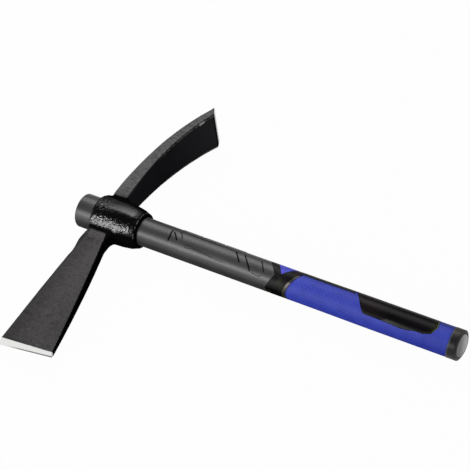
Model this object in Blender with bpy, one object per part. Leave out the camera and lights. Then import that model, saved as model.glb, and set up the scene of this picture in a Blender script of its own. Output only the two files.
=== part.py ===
"""A hand mattock: a forged head with an axe blade and an adze blade, driven onto a moulded fibreglass handle.

Lengths are in metres and angles in degrees. In the tool's own frame X runs down the middle of the handle, from
the knob at 0 to the butt, +Y is the adze's side and +Z the side that carries the badge. A "station" is a place
along X. An "angle" goes round the handle from the back, which faces the adze, through the badge's side at 90 to
the belly at 180. The tool lies on its side, on the eye of its head, with its origin under the middle of its box.
"""

import math

import bmesh
import bpy
from mathutils import Vector

# Fits
FIT_GAP = 0.0003

# Handle
HANDLE_LENGTH = 0.400
KNOB_RADIUS = 0.0162
KNOB_REACH = 0.0185
KNOB_ROUNDING = 0.0016
SEAT_END_RADIUS = 0.0139
SHAFT_RADIUS = 0.0136
SHAFT_BLEND = 0.0020
JACKET_NECK_RADIUS = 0.0110
CORE_RADIUS = 0.0078
CORE_COVER = 0.0060

# Eye of the head
EYE_LENGTH = 0.0498
EYE_RADIUS = 0.0213
EYE_WAIST_RADIUS = 0.0205
EYE_WAIST_STATION = 0.0325
EYE_SHOULDER_RADIUS = 0.0191
EYE_SHOULDER_STATION = 0.0425
EYE_REAR_RADIUS = 0.0174
EYE_ROUNDING = 0.0034
EYE_MOUTH_ROUNDING = 0.0026

# Axe blade
AXE_REACH_FRONT = 0.1770
AXE_REACH_REAR = 0.1694
AXE_SETBACK = 0.0067
AXE_ROOT_SETBACK = 0.0030
AXE_ROOT_WIDTH = 0.0235
AXE_EDGE_LENGTH = 0.0525
AXE_NECK_THICKNESS = 0.0120
AXE_TIP_THICKNESS = 0.0048
AXE_THINNING = 1.7
AXE_NECK_END = 0.0360
AXE_NECK_BLEND = 0.0200
AXE_CHEEK_FILLET = 0.0120
AXE_REAR_FILLET = 0.0090
AXE_FRONT_FILLET = 0.0015
AXE_BEVEL_FRONT = 0.0064
AXE_BEVEL_REAR = 0.0036

# Adze blade
ADZE_REACH = 0.1539
ADZE_ROOT_SETBACK = 0.0098
ADZE_DROOP = 0.0229
ADZE_ROOT_LEAN = 2.5
ADZE_TIP_LEAN = 24.0
ADZE_ROOT_THICKNESS = 0.0158
ADZE_TIP_THICKNESS = 0.0075
ADZE_ROOT_WIDTH = 0.0210
ADZE_EDGE_LENGTH = 0.0410
ADZE_REAR_FILLET = 0.0030
ADZE_FRONT_FILLET = 0.0012
ADZE_CHEEK_FILLET = 0.0040
ADZE_BEVEL_RUN = 0.0062

# Both blades
BLADE_ROUNDING = 0.0010
EDGE_LAND = 0.0005
ROOT_SINK = 0.0030
ROOT_CREASE = 0.0004
ROOT_BLEND = 0.0150
AXE_ROOT_ROUNDING = 0.0060
ADZE_ROOT_ROUNDING = 0.0030
ROOT_ROUNDING_RUN = 0.0075

# Grip
GRIP_RADIUS = 0.01365
GRIP_SWELL = 0.00030
GRIP_SWELL_START = 0.240
GRIP_SWELL_LENGTH = 0.080
BASE_RADIUS = 0.01235
BASE_START_BACK = 0.2005
BASE_START_PEAK = 0.2140
BASE_START_BELLY = 0.2065
BASE_SHOULDER_ANGLE = 45.0
BASE_PEAK_ANGLE = 115.0
BLUE_START_BELLY = 0.2238
BLUE_START_RISE = 0.0120
BLUE_SIDE_ANGLE = 75.0
ACCENT_BELLY_WIDTH = 0.0040
ACCENT_SIDE_WIDTH = 0.0018
ACCENT_END_ANGLE = 80.0
BACK_HALF_ANGLE = 71.0
BACK_INSET = 0.0273
BACK_PROUD = 0.0001
SADDLE_BAND = 0.0088
SADDLE_CORNER_BAND = 0.0074
SADDLE_CORNER_ANGLE = 105.0
SADDLE_BACK_REACH = 0.0274

# Badge panel and its edging
BADGE_INSET = 0.0235
BADGE_LENGTH = 0.0858
BADGE_BACK_ANGLE = 50.0
BADGE_FRONT_SLOPE = 0.0155
BADGE_CORNER = 0.0035
BADGE_BELLY_ANGLE = 140.0
BADGE_STEP_LENGTH = 0.0510
BADGE_STEP_SLOPE = 0.0045
BADGE_STEP_ANGLE = 129.0
BADGE_SHOULDER = 0.0110
BADGE_REAR_SLOPE = 0.0036
BADGE_RIM = 0.0016
BADGE_PROUD = 0.0002
EDGING_TIP = 0.0004
EDGING_DROP = 0.0037
EDGING_RUN = 0.0200
EDGING_TAPER = 0.0130

# Butt
CAP_RADIUS = 0.0142
CAP_LENGTH = 0.0110
CAP_SKEW = 0.0028
CAP_SKEW_ANGLE = 125.0
CAP_CHAMFER_RUN = 0.0014
CAP_FLOOR = 0.0018
DISC_RADIUS = 0.0113
DISC_THICKNESS = 0.0020
DISC_CHAMFER = 0.0003

# Pads and grooves on the shaft: a groove's points are pad pitches from the first pad, and angles
PAD_HEIGHT = 0.00030
PAD_HALF_ANGLE = 64.0
PAD_START = 0.1035
PAD_PITCH = 0.0230
PAD_COUNT = 3
PAD_SPACING = 0.0018
PAD_SLANT = 0.0050
GROOVE_WIDTH = 0.0009
GROOVE_DEPTH = 0.00045
GROOVES = (
    ((-0.10, 81.0), (-0.11, 129.0)),
    ((-0.01, 84.0), (0.24, 114.0)),
    ((0.20, 74.0), (0.40, 95.0)),
    ((0.24, 121.0), (0.64, 125.0), (1.57, 129.0), (2.22, 135.0), (3.10, 131.0)),
    ((2.75, 70.0), (3.00, 98.0), (3.13, 113.0)),
    ((3.23, 74.0), (3.51, 109.0), (3.73, 136.0), (3.97, 143.0), (4.23, 140.0)),
    ((4.01, 82.0), (4.16, 99.0), (4.31, 117.0)),
)

SEGMENTS = 64
CORNER_STEPS = 4
SLIVER = 1e-7
ANGLES = [360.0 * k / SEGMENTS for k in range(SEGMENTS)]
UNROLL = math.radians(1.0) * GRIP_RADIUS

EYE_FRONT = KNOB_REACH
EYE_REAR = EYE_FRONT + EYE_LENGTH
CAP_FRONT = HANDLE_LENGTH - CAP_LENGTH
BACK_END = HANDLE_LENGTH - BACK_INSET
BADGE_END = HANDLE_LENGTH - BADGE_INSET
BADGE_START = BADGE_END - BADGE_LENGTH
BADGE_STEP_START = BADGE_END - BADGE_STEP_LENGTH
JACKET_END = HANDLE_LENGTH - DISC_THICKNESS - CAP_FLOOR - 2 * FIT_GAP


def clear_scene():
    """Removes every object that the file already holds."""
    for old in list(bpy.data.objects):
        bpy.data.objects.remove(old)


def material(name, colour, roughness, metallic=0.0):
    """A plain Principled material."""
    made = bpy.data.materials.new(name)
    made.use_nodes = True
    shader = made.node_tree.nodes["Principled BSDF"]
    shader.inputs["Base Color"].default_value = (*colour, 1.0)
    shader.inputs["Roughness"].default_value = roughness
    shader.inputs["Metallic"].default_value = metallic
    made.diffuse_color = (*colour, 1.0)
    return made


def lerp(first, second, share):
    return first + (second - first) * share


def smooth_step(value):
    share = min(max(value, 0.0), 1.0)
    return share * share * (3.0 - 2.0 * share)


def along(knots, value):
    """Straight lines between (place, height) knots."""
    for (low, first), (high, second) in zip(knots, knots[1:]):
        if value <= high:
            return lerp(first, second, (value - low) / (high - low))
    return knots[-1][1]


def from_back(angle):
    """Degrees between an angle and the back of the handle, either way round."""
    return abs((angle + 180.0) % 360.0 - 180.0)


def round_the_handle(station, radius, angle):
    turn = math.radians(angle)
    return Vector((station, radius * math.cos(turn), radius * math.sin(turn)))


def value_at(size, angle):
    return size(angle) if callable(size) else size


def finish_mesh(name, mesh, look):
    """Makes an object of a bmesh, with its normals out, its round faces smooth and its own material."""
    bmesh.ops.recalc_face_normals(mesh, faces=mesh.faces)
    data = bpy.data.meshes.new(name)
    mesh.to_mesh(data)
    mesh.free()
    data.shade_smooth()
    data.set_sharp_from_angle(angle=math.radians(35))
    made = bpy.data.objects.new(name, data)
    if look:
        data.materials.append(look)
    bpy.context.scene.collection.objects.link(made)
    return made


def skin(mesh, loops, closed):
    """Joins loops of points into one closed surface, with a face over each end unless the loops run in a circle."""
    rings = [[mesh.verts.new(point) for point in loop] for loop in loops]
    followers = rings[1:] + rings[:1] if closed else rings[1:]
    for ring, follower in zip(rings, followers):
        for k in range(len(ring)):
            mesh.faces.new((ring[k - 1], ring[k], follower[k], follower[k - 1]))
    if not closed:
        mesh.faces.new(rings[0])
        mesh.faces.new(rings[-1])


def turned(name, profile, look=None, closed=False):
    """A solid round the handle's axis. A station or a radius may be a function of the angle."""
    mesh = bmesh.new()
    loops = [
        [round_the_handle(value_at(station, a), value_at(radius, a), a) for a in ANGLES]
        for station, radius in profile
    ]
    skin(mesh, loops, closed)
    return finish_mesh(name, mesh, look)


def lofted(name, sections, look=None):
    """A solid through a row of sections."""
    mesh = bmesh.new()
    skin(mesh, sections, False)
    return finish_mesh(name, mesh, look)


def offset_outline(outline, distance):
    """Moves each side of an outline of (station, angle) points outwards, or inwards if the distance is negative."""
    points = [Vector((station, angle * UNROLL)) for station, angle in outline]
    turn = sum(a.x * b.y - b.x * a.y for a, b in zip(points, points[1:] + points[:1]))
    distance = math.copysign(distance, distance * turn)
    moved = []
    for k, point in enumerate(points):
        before = (point - points[k - 1]).normalized()
        after = (points[(k + 1) % len(points)] - point).normalized()
        normal_before = Vector((before.y, -before.x))
        normal_after = Vector((after.y, -after.x))
        mitre = (normal_before + normal_after) / (1.0 + normal_before.dot(normal_after))
        corner = point + mitre * distance
        moved.append((corner.x, corner.y / UNROLL))
    return moved


def wrapped(name, outline, inner, outer, look=None):
    """A plate with this outline, bent round the handle between two radii, which may change with the station."""
    mesh = bmesh.new()
    mesh.faces.new([mesh.verts.new((station, angle * UNROLL, 0.0)) for station, angle in outline])
    lowest = min(angle for _, angle in outline)
    highest = max(angle for _, angle in outline)
    step = 360.0 / SEGMENTS
    for k in range(math.ceil(lowest / step), math.floor(highest / step) + 1):
        geometry = mesh.verts[:] + mesh.edges[:] + mesh.faces[:]
        bmesh.ops.bisect_plane(
            mesh, geom=geometry, dist=SLIVER, plane_co=(0, k * step * UNROLL, 0), plane_no=(0, 1, 0)
        )
    raised = bmesh.ops.extrude_face_region(mesh, geom=mesh.faces[:])["geom"]
    top = {vert for vert in raised if isinstance(vert, bmesh.types.BMVert)}
    for vert in mesh.verts:
        radius = outer if vert in top else inner
        vert.co = round_the_handle(vert.co.x, value_at(radius, vert.co.x), vert.co.y / UNROLL)
    return finish_mesh(name, mesh, look)


def ribbon(path, width):
    """The outline of a narrow strip along a path of (station, angle) points."""
    points = [Vector((station, angle * UNROLL)) for station, angle in path]
    sides = ([], [])
    for k, point in enumerate(points):
        before = points[max(k - 1, 0)]
        after = points[min(k + 1, len(points) - 1)]
        heading = (after - before).normalized()
        normal = Vector((heading.y, -heading.x)) * width / 2
        sides[0].append(point + normal)
        sides[1].append(point - normal)
    return [(corner.x, corner.y / UNROLL) for corner in sides[0] + sides[1][::-1]]


def mirrored(outline):
    """The same outline on the other side of the handle."""
    return [(station, -angle) for station, angle in outline]


def combine(target, other, operation):
    """Adds a Boolean whose second shape is hidden from renders."""
    other.hide_render = True
    other.display_type = "WIRE"
    change = target.modifiers.new(f"{operation.lower()} {other.name}", "BOOLEAN")
    change.operation = operation
    change.solver = "EXACT"
    change.object = other
    return other


def rounded_rectangle(width, height, corner):
    """Points round a rectangle with rounded corners, centred on zero."""
    reach = min(corner, 0.49 * width, 0.49 * height)
    points = []
    for quarter, (across, up) in enumerate(((1, 1), (-1, 1), (-1, -1), (1, -1))):
        for step in range(CORNER_STEPS + 1):
            turn = math.radians(90.0 * (quarter + step / CORNER_STEPS))
            points.append(
                (
                    across * (width / 2 - reach) + reach * math.cos(turn),
                    up * (height / 2 - reach) + reach * math.sin(turn),
                )
            )
    return points


def fillet_rise(distance, radius):
    """How far a fillet has left a wall, at this distance from the face that it runs into."""
    short = min(max(radius - distance, 0.0), radius)
    return radius - math.sqrt(radius * radius - short * short)


# Shapes that several pieces share


def grip_radius(station):
    """The outside of the grip swells a little towards the palm."""
    share = smooth_step((station - GRIP_SWELL_START) / GRIP_SWELL_LENGTH)
    return GRIP_RADIUS + GRIP_SWELL * share


def base_start(angle):
    """Where the shaft's bare jacket ends: a blunt arrow head on each side."""
    knots = (
        (0.0, BASE_START_BACK),
        (BASE_SHOULDER_ANGLE, BASE_START_BACK),
        (BASE_PEAK_ANGLE, BASE_START_PEAK),
        (180.0, BASE_START_BELLY),
    )
    return along(knots, from_back(angle))


def accent_start(angle):
    """The front of the pale line, which sweeps back from the belly to the sides."""
    share = (180.0 - from_back(angle)) / (180.0 - BLUE_SIDE_ANGLE)
    return BLUE_START_BELLY + BLUE_START_RISE * min(share, 1.0) ** 1.4


def blue_start(angle):
    """The rear of the pale line, which narrows towards the sides."""
    share = (180.0 - from_back(angle)) / (180.0 - BLUE_SIDE_ANGLE)
    return accent_start(angle) + lerp(ACCENT_BELLY_WIDTH, ACCENT_SIDE_WIDTH, min(share, 1.0))


def cap_joint(angle):
    """The slanted joint between the grip and the butt cap."""
    return CAP_FRONT + CAP_SKEW * math.cos(math.radians(angle - CAP_SKEW_ANGLE))


def seat_radius(station):
    """The taper that the head is driven onto."""
    return lerp(KNOB_RADIUS, SEAT_END_RADIUS, (station - EYE_FRONT) / EYE_LENGTH)


def shifted(edge, distance):
    """A boundary moved along the handle."""
    return lambda angle: edge(angle) + distance


def saddle_outline():
    """The blue patch over the back of the handle, pointed on each side."""
    front = BASE_START_BACK + SADDLE_BAND
    corner = (base_start(SADDLE_CORNER_ANGLE) + SADDLE_CORNER_BAND, SADDLE_CORNER_ANGLE)
    tail = front + SADDLE_BACK_REACH
    rear = [
        (lerp(tail, corner[0], (angle / SADDLE_CORNER_ANGLE) ** 1.2), angle) for angle in (85.0, 65.0, 45.0, 20.0)
    ]
    half = [(front, BASE_SHOULDER_ANGLE), corner, *rear]
    return half + mirrored(half)[::-1]


def back_outline():
    """The black strip along the back of the grip, cut short on the badge's side."""
    start = accent_start(BLUE_SIDE_ANGLE) - ACCENT_SIDE_WIDTH
    return [
        (start, -BACK_HALF_ANGLE),
        (BACK_END, -BACK_HALF_ANGLE),
        (BACK_END, BADGE_BACK_ANGLE),
        (BADGE_START, BADGE_BACK_ANGLE),
        (BADGE_START, BACK_HALF_ANGLE),
        (start, BACK_HALF_ANGLE),
    ]


def badge_left():
    """The badge's slanted front end and the start of its lower edge, which panel and pocket share."""
    low = (BADGE_START + BADGE_FRONT_SLOPE, BADGE_BELLY_ANGLE - 3.0)
    return [(BADGE_START, BADGE_BACK_ANGLE), low, (low[0] + BADGE_CORNER, BADGE_BELLY_ANGLE)]


def badge_right(rim):
    """The badge's blunt rear end, this far outside the panel's own."""
    angle = rim / UNROLL
    return [
        (BADGE_END - BADGE_SHOULDER + 0.4 * rim, BADGE_STEP_ANGLE + angle),
        (BADGE_END - BADGE_CORNER + 0.9 * rim, BADGE_STEP_ANGLE - 7.0 + 0.5 * angle),
        (BADGE_END + rim, BADGE_STEP_ANGLE - 34.0),
        (BADGE_END - BADGE_REAR_SLOPE + rim, BADGE_BACK_ANGLE),
    ]


def panel_outline():
    """The glossy panel, whose lower edge steps up where the edging lies."""
    step = [
        (BADGE_STEP_START, BADGE_BELLY_ANGLE - 1.5),
        (BADGE_STEP_START + BADGE_STEP_SLOPE, BADGE_STEP_ANGLE),
    ]
    return badge_left() + step + badge_right(0.0)


def edging_outer():
    """The lower side of the edging, which bulges under the panel's step."""
    drop = EDGING_DROP / UNROLL
    lowest = BADGE_STEP_START + EDGING_RUN
    return [
        (BADGE_STEP_START + EDGING_TIP, BADGE_BELLY_ANGLE + 0.5),
        (lowest, BADGE_STEP_ANGLE + drop),
        (lowest + 0.6 * EDGING_TAPER, BADGE_STEP_ANGLE + 0.75 * drop),
        (lowest + EDGING_TAPER, BADGE_STEP_ANGLE + BADGE_RIM / UNROLL),
        *badge_right(BADGE_RIM),
    ]


def edging_outline():
    """The pale edging between the panel and the blue sleeve."""
    return edging_outer() + panel_outline()[:2:-1]


def pocket_outline():
    """The opening in the blue sleeve for the panel and its edging."""
    return badge_left() + edging_outer()


# The head


def eye_wall(station):
    """Outside radius of the eye where the blades grow out of it."""
    knots = (
        (0.0, EYE_RADIUS),
        (EYE_WAIST_STATION, EYE_WAIST_RADIUS),
        (EYE_SHOULDER_STATION, EYE_SHOULDER_RADIUS),
    )
    return along(knots, station - EYE_FRONT)


def eye_blank():
    """The eye's outside, turned: a rounded front, a slow taper and a rounded mouth."""
    front = [
        (
            EYE_FRONT + EYE_ROUNDING * (1 - math.sin(math.radians(turn))),
            EYE_RADIUS - EYE_ROUNDING * (1 - math.cos(math.radians(turn))),
        )
        for turn in (90, 70, 50, 30, 15, 0)
    ]
    mouth = [
        (
            EYE_REAR - EYE_MOUTH_ROUNDING * (1 - math.sin(math.radians(turn))),
            EYE_REAR_RADIUS - EYE_MOUTH_ROUNDING * (1 - math.cos(math.radians(turn))),
        )
        for turn in (0, 20, 45, 70, 90)
    ]
    return [
        (EYE_FRONT, seat_radius(EYE_FRONT) / 2),
        *front,
        (EYE_FRONT + EYE_WAIST_STATION, EYE_WAIST_RADIUS),
        (EYE_FRONT + EYE_SHOULDER_STATION, EYE_SHOULDER_RADIUS),
        *mouth,
        (EYE_REAR, seat_radius(EYE_REAR) / 2),
    ]


def root_half(distance, half, fillet):
    """Half the width of a blade near the eye, where a fillet swings round from its cheek onto the round wall."""
    wall = EYE_WAIST_RADIUS - ROOT_CREASE
    reach = wall + distance
    centre = wall + fillet
    lean = math.asin(min((half + fillet) / centre, 1.0))
    if reach >= math.hypot(centre * math.cos(lean), half):
        return half
    if distance <= 0.0:
        return reach * math.sin(lean)
    cosine = (centre**2 + reach**2 - fillet**2) / (2 * centre * reach)
    return reach * math.sin(lean - math.acos(min(cosine, 1.0)))


def root_corner(distance, rounding):
    """The rounding of a blade's long edges, which grows where they run out into the eye."""
    share = min(max(1.0 - distance / ROOT_ROUNDING_RUN, 0.0), 1.0)
    return BLADE_ROUNDING + rounding * share * share


def root_sag(distance, station, up):
    """How much nearer to the handle a slice's point lies than its middle, so that the root follows the round eye."""
    reach = eye_wall(station) + distance
    return (reach - math.sqrt(reach * reach - up * up)) * (1.0 - smooth_step(distance / ROOT_BLEND))


def axe_front(reach):
    """Station of the blade's front side, at this distance from the handle's axis."""
    share = smooth_step((reach - AXE_NECK_END) / AXE_NECK_BLEND)
    side = EYE_FRONT + lerp(AXE_ROOT_SETBACK, AXE_SETBACK, share)
    return side - fillet_rise(reach - EYE_WAIST_RADIUS, AXE_FRONT_FILLET)


def axe_rear(reach):
    """Station of the blade's rear side, which flares in a straight line from the neck to the cutting edge."""
    neck = EYE_FRONT + AXE_ROOT_SETBACK + AXE_ROOT_WIDTH
    corner = EYE_FRONT + AXE_SETBACK + AXE_EDGE_LENGTH
    share = (reach - AXE_NECK_END) / (AXE_REACH_REAR - AXE_NECK_END)
    side = lerp(neck, corner, max(share, 0.0))
    return side + fillet_rise(reach - EYE_WAIST_RADIUS, AXE_REAR_FILLET)


def axe_thickness(reach):
    """The cheeks thin towards the edge and swing out into the eye."""
    end = AXE_REACH_FRONT - AXE_BEVEL_FRONT
    share = min(max((reach - AXE_NECK_END) / (end - AXE_NECK_END), 0.0), 1.0)
    half = lerp(AXE_NECK_THICKNESS, AXE_TIP_THICKNESS, share**AXE_THINNING) / 2
    return 2 * root_half(reach - EYE_WAIST_RADIUS, half, AXE_CHEEK_FILLET)


def axe_section(front_reach, rear_reach, thickness, corner):
    """A slice of the blade, whose front and rear sides may be cut at different distances."""
    front = axe_front(front_reach)
    width = axe_rear(rear_reach) - front
    points = []
    for across, up in rounded_rectangle(width, thickness, corner):
        share = across / width + 0.5
        station = front + width * share
        reach = lerp(front_reach, rear_reach, share)
        sag = root_sag(reach - EYE_WAIST_RADIUS, station, up)
        taper = eye_wall(station) - EYE_WAIST_RADIUS
        rise = taper * (1.0 - smooth_step((reach - EYE_WAIST_RADIUS) / ROOT_BLEND))
        points.append(Vector((station, sag - rise - reach, up)))
    return points


def axe_blade():
    """Sections from inside the eye's wall to the ground edge, turning slowly to the slant of that edge."""
    wall = EYE_WAIST_RADIUS
    places = [wall - ROOT_SINK, wall, *(wall + AXE_REAR_FILLET * share for share in (0.06, 0.14, 0.25, 0.4, 0.65, 1.0))]
    places += [AXE_NECK_END + AXE_NECK_BLEND * share for share in (0.0, 0.25, 0.5, 0.75, 1.0)]
    start = places[-1]
    ends = (AXE_REACH_FRONT - AXE_BEVEL_FRONT, AXE_REACH_REAR - AXE_BEVEL_REAR)
    sections = []
    for reach in places:
        corner = root_corner(reach - wall, AXE_ROOT_ROUNDING)
        sections.append(axe_section(reach, reach, axe_thickness(reach), corner))
    for share in (0.25, 0.5, 0.75, 1.0):
        front, rear = (lerp(start, end, share) for end in ends)
        sections.append(axe_section(front, rear, axe_thickness(front), BLADE_ROUNDING))
    sections.append(axe_section(AXE_REACH_FRONT, AXE_REACH_REAR, EDGE_LAND, EDGE_LAND))
    return sections


def heading(lean):
    """Away from the handle on the adze's side, leaning towards the butt."""
    return Vector((math.sin(math.radians(lean)), math.cos(math.radians(lean)), 0.0))


def outward(lean):
    """Square to the heading, towards the knob."""
    return Vector((-math.cos(math.radians(lean)), math.sin(math.radians(lean)), 0.0))


def adze_spine(share):
    """Middle of the blade's thickness and its lean, on a cubic curve from the root to the start of the bevel."""
    root = Vector((EYE_FRONT + ADZE_ROOT_SETBACK, EYE_WAIST_RADIUS, 0.0))
    edge = Vector((root.x + ADZE_DROOP, ADZE_REACH, 0.0))
    run = heading(ADZE_TIP_LEAN) * ADZE_BEVEL_RUN
    tip = edge - run - outward(ADZE_TIP_LEAN) * ADZE_TIP_THICKNESS / 2
    pull = (tip - root).length / 3
    controls = (root, root + heading(ADZE_ROOT_LEAN) * pull, tip - heading(ADZE_TIP_LEAN) * pull, tip)
    rest = 1.0 - share
    weights = (rest**3, 3 * rest * rest * share, 3 * rest * share * share, share**3)
    point = sum((control * weight for control, weight in zip(controls, weights)), Vector())
    slopes = [after - before for before, after in zip(controls, controls[1:])]
    slope = slopes[0] * rest * rest + slopes[1] * 2 * rest * share + slopes[2] * share * share
    return point, math.degrees(math.atan2(slope.x, slope.y))


def adze_section(point, lean, thickness, width, corner):
    """A slice of the blade, square to its spine, with its sides sagging round the eye near the root."""
    distance = point.y - EYE_WAIST_RADIUS
    front = fillet_rise(distance, ADZE_FRONT_FILLET)
    rear = fillet_rise(distance, ADZE_REAR_FILLET)
    points = []
    for across, up in rounded_rectangle(thickness + front + rear, width, corner):
        place = point + outward(lean) * (across + (front - rear) / 2)
        rise = (eye_wall(place.x) - EYE_WAIST_RADIUS) * (1.0 - smooth_step(distance / ROOT_BLEND))
        sag = root_sag(distance, place.x, up)
        points.append(place + Vector((0.0, rise - sag, up)))
    return points


def adze_size(share, distance):
    """Thickness and width at this share of the way to the bevel, this far from the eye's wall."""
    rest = 1.0 - share
    thickness = ADZE_TIP_THICKNESS + (ADZE_ROOT_THICKNESS - ADZE_TIP_THICKNESS) * rest * rest
    half = lerp(ADZE_EDGE_LENGTH, ADZE_ROOT_WIDTH, rest) / 2
    width = 2 * root_half(distance, half, ADZE_CHEEK_FILLET)
    return thickness, width


def adze_blade():
    """Sections from inside the eye's wall out to the bevel, which is ground on the side that faces the handle."""
    root = adze_spine(0.0)[0] - heading(ADZE_ROOT_LEAN) * ROOT_SINK
    thickness, width = adze_size(0.0, -ROOT_SINK)
    corner = root_corner(-ROOT_SINK, ADZE_ROOT_ROUNDING)
    sections = [adze_section(root, ADZE_ROOT_LEAN, thickness, width, corner)]
    reach = ADZE_REACH - EYE_WAIST_RADIUS
    fillets = [ADZE_REAR_FILLET * part / reach for part in (0.0, 0.12, 0.3, 0.55, 1.0)]
    for share in [*fillets, 0.06, 0.12, 0.2, 0.3, 0.4, 0.5, 0.6, 0.7, 0.8, 0.9, 1.0]:
        point, lean = adze_spine(share)
        distance = point.y - EYE_WAIST_RADIUS
        thickness, width = adze_size(share, distance)
        corner = root_corner(distance, ADZE_ROOT_ROUNDING)
        sections.append(adze_section(point, lean, thickness, width, corner))
    point, lean = adze_spine(1.0)
    edge = point + heading(lean) * ADZE_BEVEL_RUN + outward(lean) * (ADZE_TIP_THICKNESS - EDGE_LAND) / 2
    sections.append(adze_section(edge, lean, EDGE_LAND, ADZE_EDGE_LENGTH, EDGE_LAND))
    return sections


def make_head():
    """One forging: the eye with both blades grown out of its wall, and the tapered hole through it."""
    steel = material("forged_steel", (0.030, 0.030, 0.032), 0.45, 0.2)
    head = turned("head", eye_blank(), steel)
    combine(head, lofted("axe_blank", axe_blade()), "UNION")
    combine(head, lofted("adze_blank", adze_blade()), "UNION")
    beyond = EYE_LENGTH * 0.1
    hole = [
        (EYE_FRONT - beyond, seat_radius(EYE_FRONT - beyond) + FIT_GAP),
        (EYE_REAR + beyond, seat_radius(EYE_REAR + beyond) + FIT_GAP),
    ]
    combine(head, turned("eye_hole", hole), "DIFFERENCE")
    return head


# The handle


def pad_outlines():
    """Raised pads over the back of the shaft, with slanted ends."""
    for k in range(PAD_COUNT):
        front = PAD_START + k * PAD_PITCH
        rear = front + PAD_PITCH - PAD_SPACING
        half = [(front + PAD_SLANT, PAD_HALF_ANGLE), (rear + PAD_SLANT, PAD_HALF_ANGLE)]
        yield [(front, 0.0), *half, (rear, 0.0), *mirrored(half)[::-1]]


def groove_paths():
    """Fine grooves on each side of the shaft, placed by the pads: an open wedge, a long frame and a short frame."""
    for path in GROOVES:
        yield [(PAD_START + pitches * PAD_PITCH, angle) for pitches, angle in path]


def make_core():
    """The glass-fibre rod that runs through the whole handle."""
    resin = material("glass_fibre", (0.62, 0.55, 0.33), 0.5)
    start = CORE_COVER + FIT_GAP
    chamfer = CORE_RADIUS / 8
    profile = [
        (start, CORE_RADIUS - chamfer),
        (start + chamfer, CORE_RADIUS),
        (JACKET_END - chamfer, CORE_RADIUS),
        (JACKET_END, CORE_RADIUS - chamfer),
    ]
    return turned("fibreglass_core", profile, resin)


def make_jacket():
    """The grey moulding round the rod: knob, taper, bare shaft, and a neck under the grip."""
    grey = material("grey_polypropylene", (0.115, 0.115, 0.120), 0.42)
    rounding = [
        (
            KNOB_ROUNDING * (1 - math.cos(math.radians(turn))),
            KNOB_RADIUS - KNOB_ROUNDING * (1 - math.sin(math.radians(turn))),
        )
        for turn in (0, 30, 60, 90)
    ]
    bore = CORE_RADIUS + FIT_GAP
    profile = [
        *rounding,
        (EYE_FRONT, KNOB_RADIUS),
        (EYE_REAR, SEAT_END_RADIUS),
        (EYE_REAR + SHAFT_BLEND, SHAFT_RADIUS),
        (base_start, SHAFT_RADIUS),
        (base_start, JACKET_NECK_RADIUS),
        (JACKET_END, JACKET_NECK_RADIUS),
        (JACKET_END, bore),
        (CORE_COVER, bore),
    ]
    jacket = turned("shaft_jacket", profile, grey)
    for k, outline in enumerate(pad_outlines()):
        top = SHAFT_RADIUS + PAD_HEIGHT
        combine(jacket, wrapped(f"pad_{k}", outline, JACKET_NECK_RADIUS, top), "UNION")
    for k, path in enumerate(groove_paths()):
        for side, outline in (("near", ribbon(path, GROOVE_WIDTH)), ("far", mirrored(ribbon(path, GROOVE_WIDTH)))):
            floor = SHAFT_RADIUS - GROOVE_DEPTH
            cutter = wrapped(f"groove_{k}_{side}", outline, floor, SHAFT_RADIUS + 3 * PAD_HEIGHT)
            combine(jacket, cutter, "DIFFERENCE")
    return jacket


def back_radius(station):
    """The strip along the back stands a hair above the grip."""
    return grip_radius(station) + BACK_PROUD


def make_grip_base():
    """The black soft moulding: a band on the shaft, the strip along the back and a thin layer under the blue."""
    black = material("black_rubber", (0.012, 0.012, 0.012), 0.55)
    half = FIT_GAP / 2
    inner = JACKET_NECK_RADIUS + FIT_GAP
    front = shifted(base_start, half)
    step = shifted(accent_start, -half)
    rear = shifted(cap_joint, -half)
    profile = [
        (front, inner),
        (front, GRIP_RADIUS),
        (step, GRIP_RADIUS),
        (step, BASE_RADIUS),
        (rear, BASE_RADIUS),
        (rear, inner),
    ]
    base = turned("grip_base", profile, black, closed=True)
    strip = offset_outline(back_outline(), -half)
    combine(base, wrapped("back_strip", strip, lerp(inner, BASE_RADIUS, 0.5), back_radius), "UNION")
    pocket = wrapped("saddle_pocket", offset_outline(saddle_outline(), half), BASE_RADIUS, GRIP_RADIUS + 2 * FIT_GAP)
    combine(base, pocket, "DIFFERENCE")
    return base


def make_saddle():
    """The blue patch let into the black band."""
    blue = material("blue_rubber_front", (0.045, 0.060, 0.420), 0.5)
    outline = offset_outline(saddle_outline(), -FIT_GAP / 2)
    return wrapped("grip_saddle", outline, BASE_RADIUS + FIT_GAP, GRIP_RADIUS, blue)


def make_accent():
    """The pale line between the black band and the blue sleeve."""
    pale = material("pale_grey_plastic", (0.42, 0.42, 0.42), 0.4)
    half = FIT_GAP / 2
    span = 360.0 - 2 * ACCENT_END_ANGLE
    turns = [ACCENT_END_ANGLE + span * k / 40 for k in range(41)]
    front = [(accent_start(angle) + half, angle) for angle in turns]
    rear = [(blue_start(angle) - half, angle) for angle in turns]
    return wrapped("accent_line", front + rear[::-1], BASE_RADIUS + FIT_GAP, GRIP_RADIUS, pale)


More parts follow.
